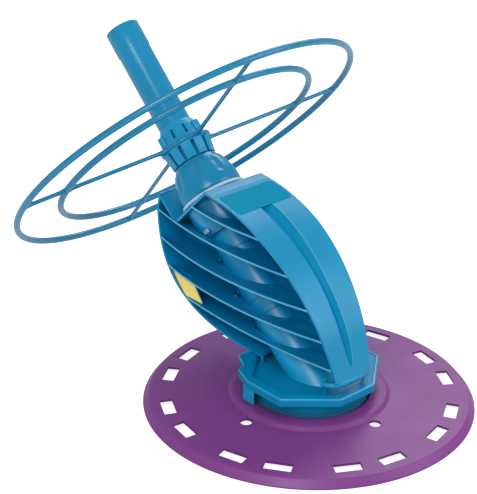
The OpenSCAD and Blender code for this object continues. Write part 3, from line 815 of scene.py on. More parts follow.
class PC_OT_front_band(bpy.types.Operator):
    """Builds the pod's curved front band with its groove and the rib behind it"""

    bl_idname = "pool_cleaner.front_band"
    bl_label = "Front Band"

    def execute(self, context):
        pod = Sizes(context.scene.pc_pod)
        stations = 72
        low, high = front_ends(pod.front_radius)
        loops = []
        for i in range(stations + 1):
            share = i / stations
            y, z = front_point(pod.front_radius, low + (high - low) * share)
            rib = RIB_DEPTH if up_axis(y, z) < RIB_TOP_S else pod.band
            loop = []
            for x, depth in band_section(pod, z, rib):
                # Rounded, so that the ends are worked out once for each depth
                radius = round(pod.front_radius - depth, 3)
                start, end = front_ends(radius)
                loop.append(Vector((x, *front_point(radius, start + (end - start) * share))))
            loops.append(loop)
        made = Shape().loft(loops).object("front_band")
        piece(made, material("blue_plastic"), replaces=("shell_left", "shell_right"), rounding=0.9)
        paint_groove_shade_and_highlight(made, pod)
        piece(front_lip(pod), material("blue_plastic"))
        return {"FINISHED"}


def front_lip(pod):
    """The rolled lip under the band's foot: a rod on a squared-off half circle, thickest in front."""
    steps, squareness = 40, 0.6
    path, radii = [], []
    for i in range(steps + 1):
        turn = math.pi * (i / steps - 0.5)
        ahead = math.cos(turn) ** squareness
        aside = math.copysign(abs(math.sin(turn)) ** squareness, turn)
        path.append(Vector(((pod.foot_half + 3.5) * aside, -50 - 19 * ahead, 54.8 + 3 * ahead)))
        radii.append(1.6 + 3.2 * math.sqrt(ahead))
    return Shape().rod(path, radii, sides=20).object("front_lip")


def paint_groove_shade_and_highlight(band, pod):
    """Gives the groove's walls a duller, darker plastic as painted shade and its far rim a paler one as a
    painted highlight.
    """
    band.data.materials.append(material("groove_plastic"))
    band.data.materials.append(material("edge_plastic"))
    for face in band.data.polygons:
        x, y, z = face.center / MM
        depth, half = groove_size(pod, z)
        sunk = pod.front_radius - math.hypot(y - FRONT_CENTRE[0], z - FRONT_CENTRE[1])
        if depth < 0.6 or sunk > depth + 0.5 or abs(face.normal.x) > 0.97:
            continue
        # Painted shade: the groove's walls take the darker plastic
        if abs(x) < half * 0.9 and sunk > 0.05:
            face.material_index = 1
        # Painted highlight: the far rim takes the paler plastic
        elif half * 0.9 < x < half + 0.6:
            face.material_index = 2


class PC_OT_back_band(bpy.types.Operator):
    """Builds the pod's back band, the heels that it stands on and the web in its middle"""

    bl_idname = "pool_cleaner.back_band"
    bl_label = "Back Band and Web"

    def execute(self, context):
        pod = Sizes(context.scene.pc_pod)
        outer, inner = back_line(), inset_line(back_line(), pod.band)
        loops = []
        for out, into in zip(outer, inner):
            half = back_half(pod, min(out.y, 200))
            section = [(-half, out), (-SEAM, out), (0, out.lerp(into, 0.1)), (SEAM, out), (half, out),
                       (half, into), (-half, into)]
            loops.append([Vector((x, p.x, p.y)) for x, p in section])
        made = Shape().loft(loops).object("back_band")
        piece(made, material("blue_plastic"), rounding=0.9)
        low_y, low_z = outer[-1]
        half = back_half(pod, low_z)
        for side, name in SIDES:
            near, far = side_span(side, half - 2.5, half)
            heel = Shape().prism(rectangle(near, far, low_y - 2.6, low_y), TRAY_FLOOR - 0.3, low_z + 2)
            piece(heel.object("back_heel_" + name), material("blue_plastic"), rounding=0.5)

        web = Shape().prism(pod_outline(pod, 1.5), -1.2, 1.2, across).object("web")
        carve(web, limb_clearance())
        piece(web, material("fin_plastic"), rounding=0.3)
        return {"FINISHED"}


class PC_OT_fins(bpy.types.Operator):
    """Builds the level fins between the bands, cut round the tube, with a painted highlight on their thin
    edges
    """

    bl_idname = "pool_cleaner.fins"
    bl_label = "Fins"

    def execute(self, context):
        pod = Sizes(context.scene.pc_pod)
        steps, rim_inset, seat = 36, 0.6, 1.4
        right = (1, 0.96, 0.85, 0.7, 0.52, 0.3)
        columns = (*right, 0, *(-share for share in reversed(right)))
        for number in range(pod.fins):
            z = min(pod.fin_height + number * pod.fin_pitch, TOP_FIN_Z)
            loops = []
            for i in range(steps + 1):
                half = fin_half(pod, z, i / steps) - rim_inset
                row = []
                for share in columns:
                    at = z - fin_fall(z, half * share, half)
                    back, front = back_y(at, pod.fin_pitch) - seat, front_y(pod.front_radius - seat, at)
                    row.append(Vector((half * share, back + (front - back) * i / steps, at)))
                thick = Vector((0, 0, pod.fin / 2))
                loops.append([point + thick for point in row] + [point - thick for point in reversed(row)])
            fin = Shape().loft(loops).object(f"fin_{number + 1}")
            front, behind_rib = (front_y(pod.front_radius - depth, z - 5) for depth in (-30, RIB_DEPTH - 1.5))
            notch = [(-RIB_HALF, front), (-RIB_HALF, behind_rib), (RIB_HALF, behind_rib), (RIB_HALF, front)]
            carve(fin, Shape().prism(notch, z - 30, z + 10).object("fin_notch"))
            carve(fin, limb_clearance())
            piece(fin, material("fin_plastic"), rounding=1.0)
            paint_rim_highlight(fin, pod)
        return {"FINISHED"}


def paint_rim_highlight(fin, pod):
    """Gives the fin's outer edge faces the paler plastic, a painted highlight."""
    fin.data.materials.append(material("edge_plastic"))
    for face in fin.data.polygons:
        x, outward = face.center.x, face.normal.x
        upright_face = abs(outward) > 0.3 and abs(face.normal.z) < 0.5
        # Painted highlight on the fin's outer edge faces
        if upright_face and x * outward > 0 and abs(x) > 0.6 * pod.foot_half * MM:
            face.material_index = 1


class PC_OT_plates(bpy.types.Operator):
    """Builds the slanting top plate, the cradle behind the nut, and the label plates at the back"""

    bl_idname = "pool_cleaner.plates"
    bl_label = "Plates"

    def execute(self, context):
        pod = Sizes(context.scene.pc_pod)
        y, z = front_point(pod.front_radius - 1, front_ends(pod.front_radius - 1)[1])
        reach = (Vector((0, y, z)) - PIVOT).dot(-REAR)
        top = [(-pod.top_half, -reach), (pod.top_half, -reach), (PLATE_BACK_HALF, -CRADLE_FOOT),
               (-PLATE_BACK_HALF, -CRADLE_FOOT)]
        plate = Shape().prism(top, PLATE_S - PLATE_T, PLATE_S, on_limb).object("top_plate")
        carve(plate, limb_clearance())
        piece(plate, material("blue_plastic"), rounding=0.9)

        lean = (CRADLE_FOOT - CRADLE_TOP) / (CRADLE_TOP_S - PLATE_S)

        def on_cradle(u, v, w):
            return on_limb(u, w + lean * (v - PLATE_S), v)

        foot = PLATE_S - PLATE_T
        slope = [(-PLATE_BACK_HALF, foot), (PLATE_BACK_HALF, foot), (CRADLE_TOP_HALF, CRADLE_TOP_S),
                 (-CRADLE_TOP_HALF, CRADLE_TOP_S)]
        cradle = Shape().prism(slope, -CRADLE_FOOT, -CRADLE_FOOT + PLATE_T, on_cradle).object("cradle")
        carve(cradle, limb_clearance())
        piece(cradle, material("fin_plastic"), rounding=0.4)

        plates, face_x, thick = Shape(), 34, 1.6
        for side, _ in SIDES:
            plates.prism(label_outline(pod, 0), side * face_x, side * (face_x - thick), across)
        piece(plates.object("label_plates"), material("fin_plastic"), rounding=0.3)
        film = fillet(label_outline(pod, 0.6), 1.5)
        film = Shape().prism(film, -face_x - 0.45, -face_x - 0.05, across)
        piece(film.object("side_label_film"), material("yellow_film"),
              replaces=("side_label",), rounding=0.12, segments=1)
        return {"FINISHED"}


def label_outline(pod, gap):
    """The side label's outline: between the two lowest fins, against the back band."""
    low = pod.fin_height + pod.fin / 2 + gap
    high = pod.fin_height + pod.fin_pitch - pod.fin / 2 - 2 * gap
    back = inset_line(back_line(), pod.band + gap if gap else pod.band / 2)[2:]
    front_low = 152 if gap else 151.4
    front_high = front_low + 23
    return [(front_low, low), (front_high, high), (line_y(back, high), high),
            *((p.x, p.y) for p in back if low < p.y < high), (line_y(back, low), low)]


class PC_OT_front_label(bpy.types.Operator):
    """Lays the blank label over the front band's top, with a paler strip along its upper edge"""

    bl_idname = "pool_cleaner.front_label"
    bl_label = "Front Label"

    def execute(self, context):
        pod = Sizes(context.scene.pc_pod)
        for name, start, end, tall, film, replaces in (
                ("front_label_film", 73, 82.6, 0.42, "teal_film", ("front_label",)),
                ("front_label_strip", 82.8, 84.8, 0.3, "pale_film", ())):
            made = label_film(pod, start, end, tall).object(name)
            piece(made, material(film), replaces=replaces)
        return {"FINISHED"}


def label_film(pod, start, end, tall):
    """A film with round corners on the front curve, from one angle to another in degrees."""
    half, corner, steps, seat = 41.5, 3.0, 24, 0.05
    loops = []
    for i in range(steps + 1):
        angle = start + (end - start) * i / steps
        reach = pod.front_radius * math.radians(min(angle - start, end - angle))
        pull = corner - math.sqrt(max(corner ** 2 - max(corner - reach, 0) ** 2, 0))
        low, high = (Vector((0, *front_point(pod.front_radius + seat + rise, math.radians(angle))))
                     for rise in (0, tall))
        foot = SIDE * (half - min(pull, corner * 0.95))
        crest = foot - SIDE * 0.1
        loops.append([low - foot, low + foot, high + crest, high - crest])
    return Shape().loft(loops)


class PC_OT_bosses(bpy.types.Operator):
    """Builds the screw bosses beside the tube, with dark sockets as painted shade and white pins below them
    as painted glints
    """

    bl_idname = "pool_cleaner.bosses"
    bl_label = "Bosses"

    def execute(self, context):
        bosses, sockets, painted_glints = Shape(), Shape(), Shape()
        foot_x, top_x, outer, bore = 17, 23.2, 2.9, 1.9
        wall = fillet(rectangle(bore, outer, foot_x, top_x), 0.4)
        # Painted shade: a dark socket set into each boss
        socket = [(u * 0.6, v * 1.3) for u, v in circle(2.4, 20)]
        # Painted glint: a white pin just below each socket
        painted_glint = [(u * 0.6, v * 1.1 - 4.6) for u, v in circle(1.25, 12)]
        for side, _ in SIDES:
            for y, z in BOSS_PLACES:

                def at_boss(u, v, w, y=y, z=z, side=side):
                    return Vector((side * w, y + u, z + v))

                bosses.lathe(wall, 32, at_boss)
                sockets.prism(socket, foot_x + 3, top_x + 0.3, at_boss)
                painted_glints.prism(painted_glint, top_x - 0.2, top_x + 0.8, at_boss)
        piece(bosses.object("screw_bosses"), material("fin_plastic"))
        piece(sockets.object("boss_sockets"), material("dark_recess"))
        piece(painted_glints.object("boss_pins"), material("white_plastic"), rounding=0.3)
        return {"FINISHED"}


# ---- Foot and disc ----

# The tray: half its width and length, where its slanting corners start, and its heights
TRAY_HALF = 79.5
TRAY_FRONT = 27.5
TRAY_SIDE = 34.5
TRAY_TOP = 45
TRAY_FLOOR = 39
TRAY_UNDER = 36
# The round skirt under the tray, and the socket that holds the tube's foot
SKIRT_R = 69.5
SKIRT_FOOT = 20
TUBE_SOCKET_R = 28.5


def mirrored(right):
    """A closed outline from the points of its right half."""
    return right + [(-x, y) for x, y in reversed(right)]


def tray_outline(inset=0.0):
    """The tray's outline, shrunk by inset: slanting corners in front, stepped ones at the rear."""
    share = 1 - inset / TRAY_HALF
    right = [(TRAY_FRONT, -TRAY_HALF), (TRAY_HALF, -TRAY_SIDE), (TRAY_HALF, 21), (69, 48), (56.5, 53),
             (48.5, 69.5), (44, 74)]
    return mirrored([(x * share, y * share) for x, y in right])


def hollow_outline(inset):
    """The eight-sided outline of the tray's hollow, inset from the tray's sides."""
    corner_share = 0.41
    half, corner = TRAY_HALF - inset, corner_share * inset
    return mirrored([(TRAY_FRONT - corner, -half), (half, corner - TRAY_SIDE), (half, TRAY_SIDE - corner),
                     (TRAY_FRONT - corner, half)])


class PC_OT_foot(bpy.types.Operator):
    """Builds the foot: eight-sided tray, round skirt, side legs and the post under the pod's tip"""

    bl_idname = "pool_cleaner.foot"
    bl_label = "Foot"

    def execute(self, context):
        tray = Shape().prism(fillet(tray_outline(), 2), TRAY_UNDER, TRAY_TOP).object("foot_tray")
        levels = ((16, TRAY_FLOOR), (15, TRAY_TOP - 1.5), (12.5, TRAY_TOP - 0.2), (12, TRAY_TOP + 1))
        hollow = Shape().loft([[Vector((x, y, z)) for x, y in fillet(hollow_outline(inset), 16, steps=6)]
                               for inset, z in levels])
        carve(tray, hollow.object("tray_hollow"))
        carve(tray, Shape().prism(circle(TUBE_SOCKET_R, 64), 10, TRAY_TOP + 5).object("tray_bore"))
        piece(tray, material("foot_plastic"), replaces=("foot_base",), rounding=1.8, segments=4)

        # The tray's bead takes a lighter, shinier blue: a painted highlight
        rim = fillet(tray_outline(1.7), 3, steps=4)
        bead = Shape().rod([Vector((x, y, TRAY_TOP - 1)) for x, y in rim], 1.9, ring=True)
        piece(bead.object("tray_bead"), material("bead_plastic"))

        skirt = rectangle(SKIRT_R - 3, SKIRT_R, SKIRT_FOOT, TRAY_UNDER + 1)
        socket = rectangle(TUBE_SOCKET_R, TUBE_SOCKET_R + 3.2, SKIRT_FOOT + 1, TRAY_UNDER + 1)
        round_parts = Shape().lathe(fillet(skirt, 0.8), 128, upright).lathe(fillet(socket, 0.5), 64, upright)
        piece(round_parts.object("foot_skirt"), material("foot_plastic"))

        leg_front, leg_rear, leg_foot, wall = 9.5, 28, 18.4, 1.4
        for side, name in SIDES:
            leg = rectangle(*side_span(side, TRAY_HALF - 10.5, TRAY_HALF - 0.05), leg_front, leg_rear)
            leg = Shape().prism(leg, leg_foot, TRAY_UNDER + 2).object("foot_leg_" + name)
            room = rectangle(*side_span(side, TRAY_HALF - 15.5, TRAY_HALF - 1.5), leg_front - 4.5,
                             leg_rear - wall)
            carve(leg, Shape().prism(room, leg_foot - 8.4, TRAY_UNDER - 1).object("leg_room"))
            piece(leg, material("blue_plastic"), rounding=0.6)
        post_x, post_y, post_half = -25, -53, 1.3
        post = rectangle(post_x - post_half, post_x + post_half, post_y - post_half, post_y + post_half)
        post = Shape().prism(post, TRAY_FLOOR - 0.5, floor_z(post_y) + 2)
        piece(post.object("tip_post"), material("blue_plastic"), rounding=0.4)
        return {"FINISHED"}


class PC_OT_disc(bpy.types.Operator):
    """Builds the flexible disc with its sloping rim, raised collar, slots and lifting holes"""

    bl_idname = "pool_cleaner.disc"
    bl_label = "Disc"

    def execute(self, context):
        size = Sizes(context.scene.pc_disc)
        sheet = size.rim_height + 3
        top, bore, thick = sheet + 5, SKIRT_R + 3, 3
        rim, slope = size.radius - size.rim_width, 4
        outline = [
            (size.radius, 0), (size.radius, 1.5), (rim, size.rim_height), (size.collar_radius + slope, sheet),
            (size.collar_radius, top - 1), (size.collar_radius - slope, top), (bore, top),
            (bore, top - thick), (size.collar_radius - slope, top - thick),
            (size.collar_radius, sheet - thick + 0.5), (size.collar_radius + slope, sheet - thick),
            (rim - 1, size.rim_height - thick), (size.radius - thick, 0),
        ]
        disc = Shape().lathe(fillet(outline, 1.2, least_turn=12), 128, upright).object("disc_sheet")
        cutters = Shape()
        step = 2 * math.pi / size.slot_pairs
        across_slot, along_slot = size.slot_width / 2, size.slot_length / 2
        slot = fillet(rectangle(-across_slot, across_slot, -along_slot, along_slot), 0.8)
        for pair in range(size.slot_pairs):
            for side in (-1, 1):
                angle = size.turn + (pair + 0.5) * step + side * size.pair_angle / 2
                turn = Matrix.Rotation(angle, 3, "Z")

                def at_slot(u, v, w, turn=turn):
                    return turn @ Vector((size.radius - size.slot_inset + u, v, w))

                cutters.prism(slot, -5, 2 * sheet, at_slot)
        for quarter in range(4):
            angle = size.turn + math.radians(90 * quarter)
            hole = circle(size.hole_radius, 32, (size.hole_ring * math.cos(angle),
                                                size.hole_ring * math.sin(angle)))
            cutters.prism(hole, -5, 3 * sheet)
        carve(disc, cutters.object("disc_cutters"))
        piece(disc, material("purple_disc"), body="disc", replaces=("disc",),
              rounding=0.45, segments=2)
        return {"FINISHED"}


# ---- Tube, collar, nut and pipe ----


class PC_OT_tube(bpy.types.Operator):
    """Builds the main tube, which leans out of the foot, with its fine rings and lug"""

    bl_idname = "pool_cleaner.tube"
    bl_label = "Tube"

    def execute(self, context):
        limb = Sizes(context.scene.pc_limb)
        radius, wall = limb.tube_radius, 3
        rings, sunk = [], radius - 0.6
        for s in (80, 100, 165):
            rings += [(radius, s - 0.9), (sunk, s - 0.35), (sunk, s + 0.35), (radius, s + 0.9)]
        outline = [(radius - wall, 0), (radius, 0), *rings, (radius, limb.tube_top),
                   (radius - wall, limb.tube_top)]

        def above_tray(x, rear, s):
            """Moves the tube's low end along the axis onto the tray's floor."""
            if s > 0:
                return on_limb(x, rear, s)
            start = on_limb(x, rear, 0)
            return start + AXIS * (TRAY_FLOOR - 1 - start.z) / AXIS.z

        tube = Shape().lathe(outline, 128, above_tray)
        tube.lathe(rectangle(radius - wall, radius + 0.1, SKIRT_FOOT, TRAY_FLOOR), place=upright)
        piece(tube.object("tube"), material("tube_plastic"), replaces=("main_tube",))

        angle, lug_s = math.radians(-150), 90
        out = SIDE * math.sin(angle) - REAR * math.cos(angle)
        flat = AXIS.cross(out)

        def at_lug(u, v, w):
            return PIVOT + AXIS * (lug_s + v) + out * w + flat * u

        lug = Shape().prism(fillet(rectangle(-3.5, 3.5, -2.5, 2.5), 0.8), 27, 29, at_lug)
        piece(lug.object("tube_lug"), material("limb_plastic"), rounding=0.4)
        return {"FINISHED"}


class PC_OT_collar(bpy.types.Operator):
    """Builds the lock collar under the nut, with its windows, and the two release buttons"""

    bl_idname = "pool_cleaner.collar"
    bl_label = "Lock Collar"

    def execute(self, context):
        limb = Sizes(context.scene.pc_limb)
        outer, top, flange, flange_top, neck = limb.collar_radius, 235.2, 41, 240, 34
        low, tube_top, tube_room, seat_r, lip_s, sleeve_top = 191, 204.2, 28.4, 25.4, 226, 256
        outline = [(outer - 3.6, low), (outer - 3.1, low + 3), (outer - 0.9, 202), (outer, 211), (outer, 231),
                   (outer, top), (neck, top), (neck, sleeve_top), (neck - 3, sleeve_top), (neck - 3, lip_s),
                   (seat_r, lip_s), (seat_r, tube_top), (tube_room, tube_top), (tube_room, low)]
        collar = Shape().lathe(fillet(outline, 1.0)).object("lock_collar_sleeve")
        front, rear, window_low, window_high, gap = -6.9, 3.7, 195.8, 201.9, 0.2
        window = rectangle(front, rear, window_low, window_high)
        face = rectangle(front + gap, rear - gap, window_low + gap, window_high - gap)

        def sideways(u, v, w):
            return on_limb(w, u, v)

        windows = Shape()
        for side, _ in SIDES:
            windows.prism(window, side * (outer - 8), side * (outer + 6.5), sideways)
        carve(collar, windows.object("button_windows"))
        piece(collar, material("limb_plastic"), replaces=("lock_collar",), rounding=0.35, segments=2)
        # The flange under the nut is pale plastic: a painted highlight
        rim = fillet(rectangle(neck, flange, top, flange_top), 2, steps=5)
        piece(Shape().lathe(rim, 128).object("collar_rim"), material("rim_plastic"))
        # The buttons' pale plastic is a painted highlight
        cap_back, cap_face = outer - 3, outer - 0.8
        for side, name in SIDES:
            button = Shape().prism(fillet(face, 1.4), side * cap_back, side * cap_face, sideways)
            piece(button.object("button_cap_" + name), material("pale_plastic"), body="button_" + name,
                  replaces=("release_button_" + name,), rounding=0.9)
        return {"FINISHED"}


class PC_OT_hand_nut(bpy.types.Operator):
    """Builds the domed hand nut with its finger hollows"""

    bl_idname = "pool_cleaner.hand_nut"
    bl_label = "Hand Nut"

    def execute(self, context):
        limb = Sizes(context.scene.pc_limb)
        low, top, neck, bore = 240.3, 285, 34.08, limb.pipe_radius + 0.5
        curve, bend_s, shoulder, brim = 75, 244, 277, 279
        highest = math.degrees(math.asin((shoulder - bend_s) / curve))
        dome = arc((limb.nut_radius - curve, bend_s), curve, 0, highest, 24)
        outline = [(neck, low), (limb.nut_radius - 0.6, low), *dome, (31, 278.6), (29.4, brim), (26.4, top),
                   (bore, top), (bore, brim), (28.5, brim), (28.5, 270), (neck, 258)]
        rounded = fillet(outline, 1.6, steps=4)
        hollow_r, reach, ease = 10, 2.08, 0.8
        hollow_low, hollow_high, inside_top, pipe_room = 252, 278, 262, 22

        def scooped(angle, r, s):
            """Pulls the outside in at each hollow, with a soft edge."""
            if r < neck + 0.5 and s < inside_top or r < pipe_room:
                return r
            step = 2 * math.pi / limb.nut_hollows
            off = (angle + step / 2) % step - step / 2
            rise = between(hollow_low, hollow_low + 6, s) * between(hollow_high, hollow_high - 8, s)
            centre = r + hollow_r - reach * smooth_step(rise)
            side = centre * math.sin(off)
            if abs(side) >= hollow_r or not rise:
                return r
            cut = centre * math.cos(off) - math.sqrt(hollow_r ** 2 - side ** 2)
            blend = between(-ease, ease, r - cut)
            return r + (cut - r) * blend - ease * 0.3 * blend * (1 - blend)

        made = Shape().lathe(rounded, 256, radius=scooped).object("nut_dome")
        piece(made, material("limb_plastic"), body="hand_nut", replaces=("hand_nut",))
        return {"FINISHED"}


class PC_OT_pipe(bpy.types.Operator):
    """Builds the extension pipe with its swivel flange, stop, bead and hose socket"""

    bl_idname = "pool_cleaner.pipe"
    bl_label = "Extension Pipe"

    def execute(self, context):
        limb = Sizes(context.scene.pc_limb)
        outer, bore, top, low = limb.pipe_radius, limb.pipe_radius - 2.4, limb.pipe_top, 250
        flange, stop, bead = outer + 7.1, outer + 3.6, outer + 1.2
        socket_s, socket_outer, socket_bore = top - 32, 21.2, 19.2
        outline = [
            (bore, low), (outer, low), (outer, 272), (flange, 272), (flange, 277), (outer, 277),
            (outer, 285.5), (stop, 285.5), (stop, 287.5), (outer, 287.5),
            (outer, 329.6), (bead, 330.2), (bead, 331.6), (outer, 332.2),
            (outer, socket_s - 1), (socket_outer, socket_s), (socket_outer, top), (socket_bore, top),
            (socket_bore, socket_s), (bore, socket_s),
        ]
        made = Shape().lathe(fillet(outline, 0.6), 128).object("extension_pipe")
        piece(made, material("limb_plastic"), body="outer_pipe", replaces=("outer_pipe",))
        return {"FINISHED"}


# ---- Deflector wheel ----

# The hub's slots and lugs, its two rings' radii, and where it starts up the axis
UPPER_SLOTS = 10
LOWER_SLOTS = 11
HUB_LUGS = 3
LOWER_R = 27.8
UPPER_R = 24.8
HUB_LOW = 285.9


def slotted(count, turn, half, depth, wall, s_low, s_high):
    """A reshaping for lathe that sinks evenly spaced slots into a hub's wall, and the angles it needs.

    turn is in slots, half is half a slot's width, and the slots reach from s_low to s_high up the axis.
    """
    step = 2 * math.pi / count
    half_angle, edge = half / wall, 0.25 / wall
    angles = set()
    for i in range(count):
        middle = (i + turn) * step
        for off in (-half_angle - edge, -half_angle, half_angle, half_angle + edge):
            angles.add(middle + off)
        spare = step - 2 * (half_angle + edge)
        angles.update(middle + half_angle + edge + spare * k / 8 for k in range(1, 8))

    def reshape(angle, r, s):
        off = (angle - turn * step + step / 2) % step - step / 2
        inside = abs(off) <= half_angle * 1.01 and s_low <= s <= s_high and r > wall - 0.7
        return wall - depth if inside else r

    return reshape, sorted(angles)


class PC_OT_hub(bpy.types.Operator):
    """Builds the wheel's hub: the slotted lower ring, the slotted upper ring and its round lugs"""

    bl_idname = "pool_cleaner.hub"
    bl_label = "Wheel Hub"

    def execute(self, context):
        wheel = Sizes(context.scene.pc_wheel)
        bore, plane = 20.48, wheel.plane
        seat_r, seat_h = wheel.centre_ring - wheel.spoke_rod - 0.2, wheel.spoke_rod + 0.2
        low, high, edge = HUB_LOW - 1, plane - seat_h - 1.6, 0.3
        outline = [(bore, HUB_LOW), (LOWER_R - 0.6, HUB_LOW), (LOWER_R, HUB_LOW + 0.6),
                   (LOWER_R + 2.7, high), (LOWER_R + 2.8, high + edge), (LOWER_R + 3, plane - seat_h),
                   (seat_r, plane - seat_h), (seat_r, plane), (bore, plane)]
        reshape, angles = slotted(LOWER_SLOTS, turn=0.367, half=1.9, depth=3.4, wall=LOWER_R, s_low=low,
                                  s_high=high)
        made = Shape().lathe(outline, radius=reshape, angles=angles).object("hub_lower_ring")
        piece(made, material("hub_plastic"), body=WHEEL_BODY, replaces=("wheel_hub_lower",))

        low, high, top = plane + 7.5, plane + 19, plane + 27
        outline = [(bore, plane), (seat_r, plane), (seat_r, plane + seat_h), (UPPER_R + 3.6, plane + seat_h),
                   (UPPER_R + 1.6, low - edge), (UPPER_R + 1.5, low), (UPPER_R, high),
                   (UPPER_R - 0.1, high + edge), (UPPER_R - 3, top - 2), (bore + 0.4, top), (bore, top)]
        reshape, angles = slotted(UPPER_SLOTS, turn=0.5, half=1.4, depth=3.2, wall=UPPER_R, s_low=low,
                                  s_high=high)
        upper = Shape().lathe(outline, radius=reshape, angles=angles)
        piece(upper.object("hub_upper_ring"), material("hub_plastic"), body=WHEEL_BODY,
              replaces=("wheel_hub_upper",))

        lugs, lug_r, lug_foot, lug_top = Shape(), 5.4, plane + seat_h - 0.2, plane + seat_h + 16
        for i in range(HUB_LUGS):
            angle = math.radians(-68 + i * 360 / HUB_LUGS)
            place = (UPPER_R + 0.5) * math.cos(angle), (UPPER_R + 0.5) * math.sin(angle)
            side = fillet(rectangle(0.01, lug_r, lug_foot, lug_top), 3, steps=6)

            def at_lug(x, rear, s, place=place):
                return on_limb(place[0] + x, place[1] + rear, s)

            lugs.lathe(side, 32, at_lug)
        piece(lugs.object("hub_lugs"), material("hub_plastic"), body=WHEEL_BODY)
        return {"FINISHED"}


class PC_OT_wheel(bpy.types.Operator):
    """Builds the wheel's rings and spokes as round rods that flow into each other"""

    bl_idname = "pool_cleaner.wheel"
    bl_label = "Wheel"

    def execute(self, context):
        wheel = Sizes(context.scene.pc_wheel)
        plane = wheel.plane

        def ring_path(radius, steps):
            return [on_limb(x, y, plane) for x, y in circle(radius, steps)]

        for name, radius, rod, steps, node in (
                ("outer_ring_rod", wheel.outer_radius, wheel.ring_rod, 160, "wheel_outer_ring"),
                ("inner_ring_rod", wheel.inner_radius, wheel.ring_rod, 128, "wheel_inner_ring"),
                ("centre_ring_rod", wheel.centre_ring, wheel.spoke_rod, 72, "wheel_centre_ring")):
            made = Shape().rod(ring_path(radius, steps), rod, sides=20, ring=True).object(name)
            piece(made, material("wheel_plastic"), body=WHEEL_BODY, replaces=(node,))

        spokes = Shape()
        flare_at = (wheel.centre_ring, wheel.inner_radius, wheel.outer_radius)
        for i in range(wheel.spokes):
            turn = -wheel.spoke_turn + math.radians(i * 360 / wheel.spokes)
            out = (math.cos(turn), math.sin(turn))
            aside = (-out[1], out[0])

            def on_spoke(along, beside, out=out, aside=aside):
                return on_limb(out[0] * along + aside[0] * beside, out[1] * along + aside[1] * beside, plane)

            # The spoke itself, which thickens where it meets a ring
            start, end, count = wheel.centre_ring - 1, wheel.outer_radius, 90
            path, radii = [], []
            for k in range(count + 1):
                along = start + (end - start) * k / count
                near = min(abs(along - r) - wheel.ring_rod for r in flare_at)
                path.append(on_spoke(along, wheel.spoke_offset))
                radii.append(wheel.spoke_rod - 0.1 + 1.1 * math.exp(-max(near, 0) / 2.2))
            spokes.rod(path, radii)
            # A bend on each side of its root: where it leaves the centre ring, in degrees, and its reach
            for wrap, out_to in ((-46, 24), (26, 12)):
                root = math.atan2(wheel.spoke_offset, wheel.centre_ring) + math.radians(wrap)
                foot = wheel.centre_ring * Vector((math.cos(root), math.sin(root)))
                corner = Vector((math.sqrt(wheel.centre_ring ** 2 - wheel.spoke_offset ** 2),
                                 wheel.spoke_offset))
                tip = Vector((wheel.centre_ring + out_to, wheel.spoke_offset))
                path = [on_spoke(*bend_point(foot, corner, tip, k / 8)) for k in range(9)]
                spokes.rod(path, wheel.spoke_rod - 0.3, sides=14)
        piece(spokes.object("spoke_rods"), material("wheel_plastic"), body=WHEEL_BODY,
              replaces=("wheel_spokes",))
        return {"FINISHED"}


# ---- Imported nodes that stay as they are, and the stage ----

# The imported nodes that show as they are, each with its finish
KEPT_NODES = {
    "footpad": "pad_rubber",
    "shell_screws": "steel",
    "release_spring_left": "steel",
    "release_spring_right": "steel",
    "cassette_outer": "pad_rubber",
    "cassette_inner": "grey_plastic",
    "diaphragm": "black_rubber",
    "diaphragm_ring": "grey_plastic",
    "inner_pipe": "grey_plastic",
    "compression_ring": "grey_plastic",
    "pipe_seal": "black_rubber",
    "swivel_washer": "black_rubber",
}


class PC_OT_inner_parts(bpy.types.Operator):
    """Gives the pieces inside the cleaner their rubber, plastic and steel"""

    bl_idname = "pool_cleaner.inner_parts"
    bl_label = "Inner Parts"

    def execute(self, context):
        for node, finish in KEPT_NODES.items():
            data = frame["nodes"][node].data
            data.materials.clear()
            data.materials.append(material(finish))
        return {"FINISHED"}


# What the lamps face, and each lamp's name, width and place, in metres
LAMP_TARGET = Vector((0, 0.1, 0.15))
LAMPS = (("key", 1.3, (-2.1, -1.3, 2.2)), ("fill", 1.4, (1.3, -1.9, 1.5)), ("rim", 1.4, (1.9, 1.3, 1.9)))


def lamp(name, width, place, power):
    """A soft square lamp that faces the cleaner's middle."""
    light = bpy.data.lights.new(name, "AREA")
    light.size = width
    light.energy = power
    made = bpy.data.objects.new(name, light)
    made.location = place
    made.rotation_mode = "QUATERNION"
    made.rotation_quaternion = (LAMP_TARGET - Vector(place)).to_track_quat("-Z", "Y")
    bpy.context.scene.collection.objects.link(made)


# Where the camera stands and looks, and its sensor's width in millimetres
CAMERA_PLACE = Vector((-1.3550, -1.3726, 1.1255))
CAMERA_FORWARD = Vector((0.6041, 0.6686, -0.4336))
SENSOR_WIDTH = 36


